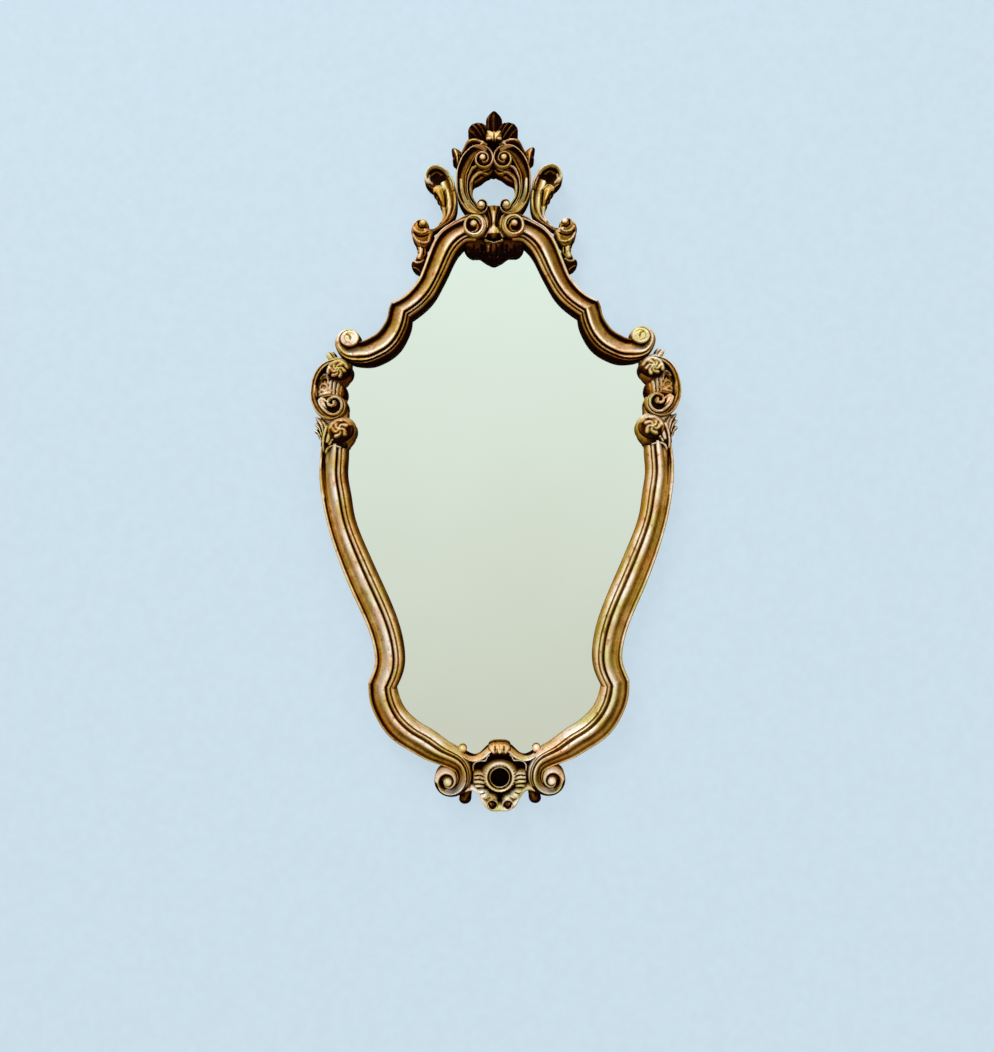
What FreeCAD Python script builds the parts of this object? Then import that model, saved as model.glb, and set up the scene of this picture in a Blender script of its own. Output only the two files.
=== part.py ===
"""Wall mirror in a carved and gilded wood frame with a pierced crest.

The frame hangs on a wall. X runs across it, Y from its front to the wall and Z up.
The origin is on the centre line, on the flat back of the frame, level with the hanger eyes.
Sizes are in millimetres. Places on the carved front are shares of the frame's half width
and of its height, both measured from the centre line and from the lowest point.
"""
import FreeCAD
import Part
import Sketcher
import math
import os
from FreeCAD import Placement, Rotation, Vector

# Driving sizes
SIZES = (
    ("overall_width", 471.0),
    ("overall_height", 872.0),
    # Mirror and its back
    ("glass_thick", 4.0),
    ("board_thick", 3.0),
    ("rebate_width", 9.0),
    ("glass_clearance", 1.0),
    ("board_clearance", 0.6),
    # Moulding of the frame rails, heights above the back
    ("lip_front", 27.0),
    ("cove_front", 19.5),
    ("band_front", 32.0),
    ("groove_front", 27.6),
    ("bead_front", 29.1),
    ("sight_front", 20.0),
    # Carved parts, heights above the back
    ("block_front", 17.0),
    ("scroll_front", 35.0),
    ("scroll_edge", 24.0),
    ("inner_scroll_front", 29.0),
    ("leaf_front", 33.0),
    ("leaf_edge", 17.0),
    ("shell_front", 43.0),
    ("shell_edge", 24.0),
    ("apron_front", 41.0),
    ("apron_back", 12.0),
    ("volute_rise", 5.0),
    # Radii of the volutes
    ("crest_volute_radius", 14.0),
    ("crest_eye_radius", 11.0),
    ("shoulder_volute_radius", 15.5),
    ("cartouche_volute_radius", 12.5),
    ("side_volute_radius", 13.0),
    ("base_volute_radius", 21.0),
    ("knob_radius", 10.5),
    ("leaf_volute_radius", 8.5),
    ("rosette_radius", 17.0),
    ("rosette_hole_radius", 10.5),
    ("rosette_hole_depth", 16.0),
    ("rosette_front", 42.0),
    # Dowels in the joints of the frame
    ("dowel_radius", 3.0),
    ("dowel_length", 26.0),
    ("dowel_depth", 13.0),
    # Battens across the back
    ("batten_thick", 3.0),
    ("crest_batten_length", 74.0),
    ("top_batten_length", 84.0),
    ("base_batten_length", 150.0),
    ("batten_height", 14.0),
    ("batten_screw_inset", 9.0),
    # Screws
    ("screw_radius", 1.6),
    ("screw_length", 14.0),
    ("screw_head_radius", 3.2),
    ("screw_head_height", 1.6),
    # Turn buttons that hold the back board
    ("button_length", 24.0),
    ("button_width", 10.0),
    ("button_thick", 1.5),
    # Strap hangers
    ("strap_width", 12.0),
    ("strap_length", 34.0),
    ("strap_thick", 1.1),
    ("eye_radius", 2.6),
    ("eye_lift", 2.9),
    ("ring_wire_radius", 1.5),
    ("running_clearance", 0.06),
    ("ring_corner_radius", 2.5),
    ("ring_width", 20.0),
    ("ring_drop", 8.0),
    ("strap_screw_first", 9.0),
    ("strap_screw_second", 27.0),
    # Rubber bumpers
    ("bumper_radius", 6.0),
    ("bumper_thick", 6.5),
    ("pad_length", 20.0),
    # Overrun of every cutting tool
    ("overrun", 2.0),
)

doc = FreeCAD.newDocument("baroque_mirror")
sheet = doc.addObject("Spreadsheet::Sheet", "sizes")
for row, (alias, value) in enumerate(SIZES, start=1):
    sheet.set(f"A{row}", alias)
    sheet.set(f"B{row}", str(value))
    sheet.setAlias(f"B{row}", alias)
doc.recompute()


def size(alias):
    """Value of one driving size."""
    return float(sheet.get(alias))


half_width = size("overall_width") / 2
height = size("overall_height")
rebate_depth = size("glass_thick") + size("board_thick")

# The hanger eyes, which give the origin its height
hanger_across_share = 0.918
origin_up_share = 0.618

# Middle of anything between its two ends
middle_share = 0.5

# Volutes and other round parts of the carving: across and up
CREST_VOLUTE_SHARES = (0.112, 0.8365)
SHOULDER_VOLUTE_SHARES = (0.768, 0.678)
CARTOUCHE_TOP_SHARES = (0.832, 0.634)
CARTOUCHE_LOW_SHARES = (0.862, 0.585)
SIDE_VOLUTE_SHARES = (0.815, 0.549)
BASE_VOLUTE_SHARES = (0.273, 0.042)
CREST_HEAD_SHARES = (0.067, 0.9345)
CREST_TAIL_SHARES = (0.079, 0.8695)
tail_radius_share = 0.5
KNOB_SHARES = (0.322, 0.913)
LEAF_VOLUTE_SHARES = (0.382, 0.851)
CUP_SHARES = (0.0, 0.945)
ROSETTE_SHARES = (0.0, 0.050)

# Hidden hardware: along the rail section, up the frame and across it
dowel_place_share = 0.42
button_pivot_share = 0.45
crest_batten_share = 0.930
top_batten_share = 0.842
base_batten_share = 0.045
inner_hole_share = 0.36
pad_across_share = 0.14
BUMPER_SHARES = ((0.487, 0.109), (0.535, 0.704))

# Across a rail, from its outer edge to its sight edge
lip_crest_share = 0.055
lip_end_share = 0.13
cove_low_share = 0.25
band_foot_share = 0.42
band_crest_share = 0.64
band_end_share = 0.76
groove_share = 0.79
bead_crest_share = 0.845
bead_end_share = 0.90
lip_wall_share = 0.84
lip_foot_share = 0.9
band_rise_share = 0.45

# Stations along the rails: outer edge across and up, sight edge across and up
UPPER_RAIL_SHARES = (
    (0.107, 0.860, 0.100, 0.816),
    (0.186, 0.852, 0.150, 0.814),
    (0.244, 0.843, 0.186, 0.804),
    (0.322, 0.817, 0.211, 0.789),
    (0.382, 0.782, 0.246, 0.767),
    (0.447, 0.748, 0.300, 0.741),
    (0.551, 0.733, 0.449, 0.706),
)
SHOULDER_RAIL_SHARES = (
    (0.551, 0.733, 0.449, 0.706),
    (0.576, 0.708, 0.462, 0.689),
    (0.628, 0.688, 0.512, 0.670),
    (0.689, 0.679, 0.610, 0.653),
    (0.775, 0.673, 0.765, 0.645),
)
SIDE_RAIL_SHARES = (
    (0.928, 0.538, 0.798, 0.534),
    (0.945, 0.495, 0.805, 0.495),
    (0.934, 0.451, 0.792, 0.460),
    (0.847, 0.362, 0.708, 0.379),
    (0.723, 0.282, 0.584, 0.300),
    (0.672, 0.240, 0.524, 0.250),
    (0.660, 0.213, 0.511, 0.213),
    (0.695, 0.185, 0.554, 0.177),
)
BASE_RAIL_SHARES = (
    (0.695, 0.185, 0.554, 0.177),
    (0.683, 0.152, 0.540, 0.161),
    (0.628, 0.121, 0.498, 0.140),
    (0.533, 0.096, 0.421, 0.122),
    (0.420, 0.077, 0.330, 0.106),
    (0.345, 0.064, 0.220, 0.081),
    (0.320, 0.056, 0.165, 0.052),
)
# Sight edge and glass edge behind the side cartouche
CARTOUCHE_GLASS_SHARES = (
    (0.790, 0.657),
    (0.862, 0.640),
    (0.872, 0.600),
    (0.852, 0.560),
)
# Rise of the glass corners there for each unit that the outline grows
cartouche_growth_share = 0.5
# Lower edge of the glass
glass_bottom_share = 0.070
# Leaf that wraps the top of the side rail
SLEEVE_SHARES = (
    (0.905, 0.566, 0.815, 0.560),
    (0.962, 0.548, 0.800, 0.545),
    (0.960, 0.524, 0.800, 0.524),
)
# Stations that carry a turn button, and those where a dowel crosses the joint
BUTTON_STATIONS = (
    ("upper", UPPER_RAIL_SHARES[4]),
    ("side", SIDE_RAIL_SHARES[1]),
    ("lower", SIDE_RAIL_SHARES[4]),
    ("base", BASE_RAIL_SHARES[2]),
)
DOWEL_STATIONS = (
    SHOULDER_RAIL_SHARES[0],
    SHOULDER_RAIL_SHARES[-1],
    SLEEVE_SHARES[0],
    BASE_RAIL_SHARES[0],
)


def at(across_share, up_share, front=0.0):
    """Place on the left half, at a height in front of the back plane."""
    rise = (up_share - origin_up_share) * height
    return Vector(-across_share * half_width, -front, rise)


def lifted(base, front):
    """The same place at another height in front of the back plane."""
    return Vector(base.x, -front, base.z)


def between(first, last, share, front):
    """Place between two places of a section, at a height in front of the back."""
    return lifted(first + (last - first) * share, front)


def line(first, last):
    """Straight edge."""
    return Part.LineSegment(first, last).toShape()


def arc(first, middle, last):
    """Arc through three places."""
    return Part.Arc(first, middle, last).toShape()


def ends(station):
    """Outer and inner place of one station."""
    return at(station[0], station[1]), at(station[2], station[3])


def rail_wire(station):
    """Closed moulding section at one station of a rail."""
    outer, inner = ends(station)
    lip = size("lip_front")
    cove = size("cove_front")
    band = size("band_front")
    groove = size("groove_front")
    band_foot = cove + (band - cove) * band_rise_share
    low_outer = between(outer, inner, 0, 0)
    wall_top = between(outer, inner, 0, lip * lip_wall_share)
    lip_crest = between(outer, inner, lip_crest_share, lip)
    lip_end = between(outer, inner, lip_end_share, lip * lip_foot_share)
    cove_low = between(outer, inner, cove_low_share, cove)
    foot = between(outer, inner, band_foot_share, band_foot)
    crest = between(outer, inner, band_crest_share, band)
    band_end = between(outer, inner, band_end_share, (band + groove) / 2)
    groove_low = between(outer, inner, groove_share, groove)
    bead_crest = between(outer, inner, bead_crest_share, size("bead_front"))
    bead_end = between(outer, inner, bead_end_share, groove)
    sight_top = between(outer, inner, 1, size("sight_front"))
    low_inner = between(outer, inner, 1, 0)
    edges = [
        line(low_outer, wall_top),
        arc(wall_top, lip_crest, lip_end),
        arc(lip_end, cove_low, foot),
        arc(foot, crest, band_end),
        line(band_end, groove_low),
        arc(groove_low, bead_crest, bead_end),
        line(bead_end, sight_top),
        line(sight_top, low_inner),
        line(low_inner, low_outer),
    ]
    return Part.Wire(edges)


def dome_wire(first, last, low, edge, crown):
    """Closed section with a flat foot, two low walls and a rounded front."""
    corners = [
        lifted(first, low),
        lifted(first, edge),
        between(first, last, middle_share, crown),
        lifted(last, edge),
        lifted(last, low),
    ]
    edges = [
        line(corners[0], corners[1]),
        arc(corners[1], corners[2], corners[3]),
        line(corners[3], corners[4]),
        line(corners[4], corners[0]),
    ]
    return Part.Wire(edges)


def rail(stations):
    """Moulded rail through a row of stations."""
    return Part.makeLoft([rail_wire(station) for station in stations], True, False)


def dome_band(stations, low, edge, crown):
    """Rounded carved band through a row of stations."""
    wires = [dome_wire(*ends(station), low, edge, crown) for station in stations]
    return Part.makeLoft(wires, True, False)


def drum(centre, radius, low, front):
    """Round boss that stands out of the back plane."""
    return Part.makeCylinder(radius, front - low, lifted(centre, low), Vector(0, -1, 0))


# Rings of a volute as shares of its radius: outer bead, inner bead and ball eye
outer_bead_shares = (1.0, 0.87, 0.74)
inner_bead_shares = (0.64, 0.53, 0.42)
eye_shares = (0.28, 0.21, 0.08)
bead_dome_share = 0.10


def volute(centre, radius, front):
    """Drum whose face carries two raised rings about a ball eye."""
    floor = front - size("volute_rise")
    wall = front - radius * bead_dome_share

    def spot(reach_share, level):
        return Vector(centre.x + radius * reach_share, -level, centre.z)

    edges = [line(spot(0, 0), spot(outer_bead_shares[0], 0))]
    corner = spot(outer_bead_shares[0], 0)
    for first, crest, last in (outer_bead_shares, inner_bead_shares):
        foot = spot(first, floor)
        if corner != foot:
            edges.append(line(corner, foot))
        edges.append(line(foot, spot(first, wall)))
        edges.append(arc(spot(first, wall), spot(crest, front), spot(last, wall)))
        edges.append(line(spot(last, wall), spot(last, floor)))
        corner = spot(last, floor)
    edges.append(line(corner, spot(eye_shares[0], floor)))
    ball_rise = (front - floor) * math.sin(math.pi / 4)
    ball_side = spot(eye_shares[1], floor + ball_rise)
    ball_top = spot(eye_shares[2], front)
    edges.append(arc(spot(eye_shares[0], floor), ball_side, ball_top))
    edges.append(line(ball_top, spot(0, front)))
    edges.append(line(spot(0, front), spot(0, 0)))
    face = Part.Face(Part.Wire(edges))
    return face.revolve(lifted(centre, 0), Vector(0, 1, 0), 360)


# A union is tested at points on each part, of which few may seem to lie outside it
tested_points = 5
outside_points_share = 0.2
joint_gap_share = 0.005


def joined(parts):
    """Union of overlapping parts, made one by one and tested for lost parts."""
    whole = parts[0]
    for part in parts[1:]:
        whole = whole.fuse(part)
    gap = size("overrun") * joint_gap_share
    for part in parts:
        corners = part.tessellate(size("overrun"))[0]
        tested = corners[:: len(corners) // tested_points + 1]
        outside = [point for point in tested if not whole.isInside(point, gap, True)]
        if len(outside) > len(tested) * outside_points_share:
            raise RuntimeError("a union lost one of its parts")
    return whole


def largest(shape):
    """Main solid of a cut shape, without the crumbs that a cut leaves."""
    return max(shape.Solids, key=lambda solid: solid.Volume)


def without(shape, cutters):
    """Largest solid of a shape after the cutters that reach into it."""
    near = [tool for tool in cutters if tool.BoundBox.intersect(shape.BoundBox)]
    if not near:
        return largest(shape)
    return largest(shape.cut(near))


def prism(points, front, low=0.0, rounded=True):
    """Solid between two heights over an outline of places."""
    base = [lifted(point, low) for point in points]
    if rounded:
        curve = Part.BSplineCurve()
        curve.interpolate(base, PeriodicFlag=True)
        wire = Part.Wire([curve.toShape()])
    else:
        wire = Part.makePolygon(base + base[:1])
    return Part.Face(wire).extrude(Vector(0, low - front, 0))


def places(shares):
    """Places of a table of shares."""
    return [at(*pair) for pair in shares]


def flipped(vector):
    """The same place on the other half."""
    return Vector(-vector.x, vector.y, vector.z)


def both_sides(vectors):
    """Places on the left and then on the right."""
    return list(vectors) + [flipped(vector) for vector in vectors]


def mirrored(shape):
    """Mirror image on the other half."""
    return shape.mirror(Vector(0, 0, 0), Vector(1, 0, 0))


def with_mirror(shape):
    """One solid of a left half and its mirror image."""
    return joined([shape, mirrored(shape)])


# Glass, board and the rebate that holds them
def rebate_place(station, reach):
    """Place a given reach behind the sight edge of a rail."""
    outer, inner = ends(station)
    heading = (outer - inner).normalize()
    return inner + heading * reach


def curve_through(points):
    """Smooth edge through a row of places."""
    spline = Part.BSplineCurve()
    spline.interpolate(points)
    return spline.toShape()


def glass_outline(growth):
    """Closed outline in the back plane, a growth outside the nominal glass edge."""
    reach = size("rebate_width") - size("glass_clearance") + growth
    upper = [rebate_place(station, reach) for station in UPPER_RAIL_SHARES]
    shoulder = [rebate_place(station, reach) for station in SHOULDER_RAIL_SHARES]
    side = [rebate_place(station, reach) for station in SIDE_RAIL_SHARES]
    base = [rebate_place(station, reach) for station in BASE_RAIL_SHARES[:-1]]
    outward = Vector(-growth, 0, growth * cartouche_growth_share)
    cartouche = [point + outward for point in places(CARTOUCHE_GLASS_SHARES)]
    low = at(0, glass_bottom_share)
    bottom_corner = Vector(base[-1].x, 0, low.z - growth)
    bottom_centre = Vector(0, 0, low.z - growth)
    top_centre = Vector(0, 0, upper[0].z)
    edges = [line(top_centre, upper[0]), curve_through(upper), curve_through(shoulder)]
    corners = [shoulder[-1]] + cartouche + [side[0]]
    edges += [line(a, b) for a, b in zip(corners[:-1], corners[1:])]
    edges += [curve_through(side), curve_through(base)]
    edges += [line(base[-1], bottom_corner), line(bottom_corner, bottom_centre)]
    half = Part.Wire(edges)
    other = half.mirror(Vector(0, 0, 0), Vector(1, 0, 0))
    return Part.Wire(Part.__sortEdges__(half.Edges + other.Edges))


def plate(growth, back, thick):
    """Flat piece with the glass outline, its back face at a given depth."""
    face = Part.Face(glass_outline(growth))
    face.translate(Vector(0, -back, 0))
    return face.extrude(Vector(0, -thick, 0))


pocket = plate(size("glass_clearance"), -size("overrun"), rebate_depth + size("overrun"))

# Carved frame, left half
def upper_rail():
    """Rail from the crest down to the notch, with its volute."""
    body = rail(UPPER_RAIL_SHARES)
    front = size("apron_front")
    head = volute(at(*CREST_VOLUTE_SHARES), size("crest_volute_radius"), front)
    return joined([body, head]).cut(pocket)


def shoulder_rail(neighbour):
    """Rail from the notch to the side cartouche, with its volute."""
    body = rail(SHOULDER_RAIL_SHARES)
    front = size("scroll_front") + size("volute_rise")
    head = volute(at(*SHOULDER_VOLUTE_SHARES), size("shoulder_volute_radius"), front)
    return joined([body, head]).cut([pocket, neighbour])


def side_rail():
    """Rail down the side, with its volute and its leaf."""
    body = rail(SIDE_RAIL_SHARES)
    front = size("scroll_front") + size("volute_rise")
    head = volute(at(*SIDE_VOLUTE_SHARES), size("side_volute_radius"), front)
    sleeve = dome_band(SLEEVE_SHARES, 0, size("leaf_edge"), size("scroll_front"))
    return joined([body, head, sleeve]).cut(pocket)


def base_rail(neighbour):
    """Rail along the bottom, with its volute."""
    body = rail(BASE_RAIL_SHARES)
    front = size("scroll_front") + size("volute_rise")
    head = volute(at(*BASE_VOLUTE_SHARES), size("base_volute_radius"), front)
    return joined([body, head]).cut([pocket, neighbour])


CARTOUCHE_BLOCK_SHARES = (
    (0.770, 0.672),
    (0.852, 0.651),
    (0.912, 0.646),
    (0.968, 0.628),
    (0.997, 0.604),
    (0.974, 0.576),
    (0.955, 0.552),
    (0.900, 0.536),
    (0.800, 0.536),
    (0.812, 0.566),
    (0.848, 0.592),
    (0.846, 0.612),
    (0.800, 0.630),
    (0.752, 0.645),
)
CARTOUCHE_SCROLL_SHARES = (
    (0.845, 0.648, 0.845, 0.638),
    (0.912, 0.647, 0.897, 0.634),
    (0.968, 0.629, 0.930, 0.621),
    (0.999, 0.604, 0.944, 0.604),
    (0.968, 0.578, 0.928, 0.587),
    (0.885, 0.572, 0.885, 0.582),
)
SIDE_LEAF_SHARES = (
    (0.960, 0.584, 0.905, 0.572),
    (0.986, 0.562, 0.915, 0.560),
    (0.985, 0.540, 0.925, 0.540),
    (0.958, 0.522, 0.935, 0.524),
)
STEM_SHARES = (
    (0.905, 0.628, 0.850, 0.622),
    (0.900, 0.606, 0.850, 0.606),
    (0.905, 0.588, 0.860, 0.590),
)


# Small bud between the C scroll and the shoulder
CARTOUCHE_BUD_SHARES = (
    (0.910, 0.642, 0.860, 0.643),
    (0.905, 0.654, 0.871, 0.654),
    (0.896, 0.664, 0.880, 0.664),
)


def side_cartouche(shoulder, side):
    """Carved block between the shoulder and the side rail, with its C scroll."""
    front = size("scroll_front")
    block = prism(places(CARTOUCHE_BLOCK_SHARES), size("block_front"))
    scroll = dome_band(CARTOUCHE_SCROLL_SHARES, 0, size("scroll_edge"), front)
    stem = dome_band(STEM_SHARES, 0, size("block_front"), size("lip_front"))
    leaf = dome_band(SIDE_LEAF_SHARES, 0, size("leaf_edge"), size("leaf_front"))
    radius = size("cartouche_volute_radius")
    upper = volute(at(*CARTOUCHE_TOP_SHARES), radius, front + size("volute_rise"))
    lower = volute(at(*CARTOUCHE_LOW_SHARES), radius, front + size("volute_rise"))
    bud = dome_band(CARTOUCHE_BUD_SHARES, 0, size("block_front"), size("scroll_edge"))
    whole = joined([upper, lower, block, bud, stem, leaf, scroll])
    return largest(whole.cut([pocket, shoulder, side]))


# Crest, left half
BIG_SCROLL_SHARES = (
    (0.045, 0.948, 0.050, 0.936),
    (0.092, 0.952, 0.084, 0.938),
    (0.150, 0.944, 0.118, 0.932),
    (0.184, 0.925, 0.139, 0.918),
    (0.195, 0.901, 0.148, 0.898),
    (0.176, 0.876, 0.138, 0.881),
    (0.125, 0.861, 0.110, 0.870),
    (0.080, 0.857, 0.078, 0.865),
)
INNER_SCROLL_SHARES = (
    (0.112, 0.934, 0.062, 0.910),
    (0.140, 0.918, 0.096, 0.900),
    (0.148, 0.898, 0.112, 0.889),
    (0.139, 0.881, 0.108, 0.879),
    (0.112, 0.870, 0.088, 0.876),
    (0.080, 0.863, 0.066, 0.874),
)
BUD_SHARES = (
    (0.231, 0.948, 0.196, 0.950),
    (0.226, 0.940, 0.190, 0.940),
    (0.206, 0.920, 0.188, 0.922),
)


def crest_scroll(rail_shape):
    """Pierced C scroll with its inner lobed scroll and two volutes."""
    front = size("scroll_front")
    outer = dome_band(BIG_SCROLL_SHARES, 0, size("scroll_edge"), front)
    inner_edge = size("block_front")
    inner = dome_band(INNER_SCROLL_SHARES, 0, inner_edge, size("inner_scroll_front"))
    eye_front = front + size("volute_rise")
    head = volute(at(*CREST_HEAD_SHARES), size("crest_eye_radius"), eye_front)
    tail_radius = size("crest_eye_radius") * tail_radius_share
    tail = drum(at(*CREST_TAIL_SHARES), tail_radius, 0, front)
    bud = dome_band(BUD_SHARES, 0, size("leaf_edge"), size("scroll_edge"))
    whole = joined([outer, inner, head, tail, bud])
    half_space = Part.makeBox(half_width, height, height)
    half_space.translate(Vector(0, -height / 2, 0))
    return largest(whole.cut([rail_shape, half_space]))


OUTER_SCROLL_SHARES = (
    (0.325, 0.926, 0.320, 0.902),
    (0.284, 0.929, 0.296, 0.901),
    (0.232, 0.917, 0.284, 0.893),
    (0.180, 0.896, 0.280, 0.874),
    (0.165, 0.872, 0.277, 0.858),
    (0.200, 0.842, 0.302, 0.840),
    (0.260, 0.826, 0.352, 0.832),
)
OUTER_LEAF_SHARES = (
    (0.330, 0.892, 0.272, 0.898),
    (0.322, 0.880, 0.268, 0.880),
    (0.290, 0.862, 0.262, 0.862),
)


def outer_scroll(rail_shape, crest_shape):
    """S scroll with a knob, on the shoulder of the upper rail."""
    front = size("leaf_front")
    stem = dome_band(OUTER_SCROLL_SHARES, 0, size("leaf_edge"), front)
    leaf = dome_band(OUTER_LEAF_SHARES, 0, size("leaf_edge"), size("inner_scroll_front"))
    knob_place = at(*KNOB_SHARES)
    knob = volute(knob_place, size("knob_radius"), front + size("volute_rise"))
    return largest(joined([stem, knob, leaf]).cut([rail_shape, crest_shape]))


LEAF_SCROLL_SHARES = (
    (0.408, 0.854, 0.340, 0.842),
    (0.441, 0.838, 0.340, 0.828),
    (0.425, 0.820, 0.350, 0.810),
    (0.402, 0.806, 0.362, 0.796),
    (0.412, 0.794, 0.380, 0.784),
)
LEAF_CURL_SHARES = (
    (0.404, 0.798, 0.372, 0.792),
    (0.440, 0.790, 0.388, 0.780),
    (0.424, 0.775, 0.396, 0.772),
)


def leaf_scroll(rail_shape, scroll_shape):
    """Leaf that hangs outside the upper rail below the S scroll."""
    front = size("scroll_edge")
    leaf = dome_band(LEAF_SCROLL_SHARES, 0, size("leaf_edge"), front)
    curl = dome_band(LEAF_CURL_SHARES, 0, size("leaf_edge"), front)
    radius = size("leaf_volute_radius")
    head = volute(at(*LEAF_VOLUTE_SHARES), radius, front + size("volute_rise"))
    return largest(joined([leaf, curl, head]).cut([rail_shape, scroll_shape]))


# Centre pieces, each from its left half
SHELL_CENTRE_SHARES = (
    (0.030, 0.940, -0.030, 0.940),
    (0.034, 0.970, -0.034, 0.970),
    (0.038, 0.988, -0.038, 0.988),
    (0.010, 0.9995, -0.010, 0.9995),
)
SHELL_LOBE_SHARES = (
    (0.022, 0.956, 0.014, 0.944),
    (0.048, 0.972, 0.070, 0.957),
    (0.074, 0.983, 0.112, 0.965),
    (0.108, 0.986, 0.134, 0.974),
)
SHELL_LEAF_SHARES = (
    (0.020, 0.950, 0.020, 0.938),
    (0.070, 0.958, 0.074, 0.944),
    (0.128, 0.963, 0.118, 0.947),
    (0.170, 0.948, 0.152, 0.943),
)
BRIDGE_SHARES = (
    (0.075, 0.945),
    (0.095, 0.925),
    (0.072, 0.907),
    (0.040, 0.911),
    (0.0, 0.917),
    (-0.040, 0.911),
    (-0.072, 0.907),
    (-0.095, 0.925),
    (-0.075, 0.945),
)


def crest_shell(left_crest, right_crest):
    """Fluted shell over the cup that joins the two C scrolls."""
    front = size("shell_front")
    edge = size("shell_edge")
    centre = dome_band(SHELL_CENTRE_SHARES, 0, edge, front)
    lobe = dome_band(SHELL_LOBE_SHARES, 0, edge, front)
    leaf = dome_band(SHELL_LEAF_SHARES, 0, size("leaf_edge"), size("scroll_front"))
    cup = drum(at(*CUP_SHARES), size("crest_eye_radius"), 0, front)
    bridge = prism(places(BRIDGE_SHARES), size("inner_scroll_front"), 0, False)
    lobes = with_mirror(joined([lobe, leaf]))
    whole = joined([centre, lobes, cup, bridge]).cut([left_crest, right_crest])
    return largest(whole)


KEYSTONE_BLOCK_SHARES = (
    (0.110, 0.858),
    (0.0, 0.868),
    (-0.110, 0.858),
    (-0.110, 0.816),
    (0.110, 0.816),
)
KEYSTONE_LEAF_SHARES = (
    (0.030, 0.866, -0.030, 0.866),
    (0.022, 0.848, -0.022, 0.848),
    (0.026, 0.832, -0.026, 0.832),
    (0.038, 0.818, -0.038, 0.818),
)


def keystone(left_rail, right_rail, left_crest, right_crest):
    """Block that locks the two upper rails, with a leaf on its front."""
    block = prism(places(KEYSTONE_BLOCK_SHARES), size("block_front"), 0, False)
    leaf = dome_band(KEYSTONE_LEAF_SHARES, 0, size("leaf_edge"), size("leaf_front"))
    cutters = [pocket, left_rail, right_rail, left_crest, right_crest]
    return largest(joined([block, leaf]).cut(cutters))


APRON_OUTLINE_SHARES = (
    (0.0, 0.820),
    (0.080, 0.819),
    (0.150, 0.810),
    (0.160, 0.797),
    (0.120, 0.789),
    (0.086, 0.789),
    (0.055, 0.783),
    (0.0, 0.777),
)
APRON_CENTRE_SHARES = (
    (0.032, 0.818, -0.032, 0.818),
    (0.036, 0.802, -0.036, 0.802),
    (0.010, 0.782, -0.010, 0.782),
)
APRON_LOBE_SHARES = (
    (0.074, 0.815, 0.046, 0.812),
    (0.096, 0.802, 0.054, 0.796),
    (0.080, 0.790, 0.058, 0.788),
)
APRON_CURL_SHARES = (
    (0.112, 0.812, 0.098, 0.806),
    (0.148, 0.805, 0.110, 0.796),
    (0.144, 0.797, 0.118, 0.792),
)


def apron(left_rail, right_rail, keystone_shape):
    """Palmette that hangs over the top of the glass."""
    low = size("apron_back")
    front = size("apron_front")
    edge = (low + front) / 2
    outline = places(APRON_OUTLINE_SHARES)
    other = [flipped(point) for point in reversed(outline[1:-1])]
    shield = prism(outline + other, edge, low, False)
    root = (low + edge) / 2
    centre = dome_band(APRON_CENTRE_SHARES, root, edge, front)
    lobe = dome_band(APRON_LOBE_SHARES, root, edge, (edge + front) / 2)
    curl = dome_band(APRON_CURL_SHARES, root, edge, (edge + front) / 2)
    ribs = [lobe, curl, mirrored(lobe), mirrored(curl)]
    whole = joined([shield, centre] + ribs)
    return largest(whole.cut([left_rail, right_rail, keystone_shape]))


BASE_BLOCK_SHARES = (
    (0.0, 0.094),
    (0.045, 0.094),
    (0.100, 0.081),
    (0.157, 0.079),
    (0.205, 0.091),
    (0.215, 0.082),
    (0.190, 0.050),
    (0.186, 0.031),
    (0.148, 0.030),
    (0.104, 0.017),
    (0.066, 0.006),
    (0.0, 0.004),
)
BASE_TOP_SCROLL_SHARES = (
    (0.0, 0.095, 0.0, 0.086),
    (0.045, 0.095, 0.045, 0.086),
    (0.100, 0.082, 0.098, 0.073),
    (0.157, 0.080, 0.150, 0.072),
    (0.205, 0.092, 0.190, 0.078),
)
BASE_LOW_SCROLL_SHARES = (
    (0.0, 0.0, 0.0, 0.008),
    (0.034, 0.0, 0.033, 0.008),
    (0.066, 0.002, 0.062, 0.010),
    (0.107, 0.014, 0.098, 0.020),
    (0.149, 0.026, 0.145, 0.034),
    (0.196, 0.026, 0.190, 0.034),
)
BASE_PETAL_SHARES = (
    (0.060, 0.066, 0.060, 0.036),
    (0.095, 0.070, 0.095, 0.032),
    (0.118, 0.058, 0.118, 0.044),
)
# Front of the low scroll and of the petals as a share of the top scroll's
low_front_share = 0.9


def base_cartouche(left_rail, right_rail, rosette_shape):
    """Carved block between the two base volutes."""
    outline = places(BASE_BLOCK_SHARES)
    other = [flipped(point) for point in reversed(outline[1:-1])]
    block = prism(outline + other, size("block_front"), 0, False)
    edge = size("leaf_edge")
    front = size("leaf_front")
    top = dome_band(BASE_TOP_SCROLL_SHARES, 0, edge, front)
    low = dome_band(BASE_LOW_SCROLL_SHARES, 0, edge, front * low_front_share)
    petal = dome_band(BASE_PETAL_SHARES, 0, edge, front * low_front_share)
    whole = joined([block, with_mirror(joined([top, low, petal]))])
    return largest(whole.cut([pocket, left_rail, right_rail, rosette_shape]))


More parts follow.
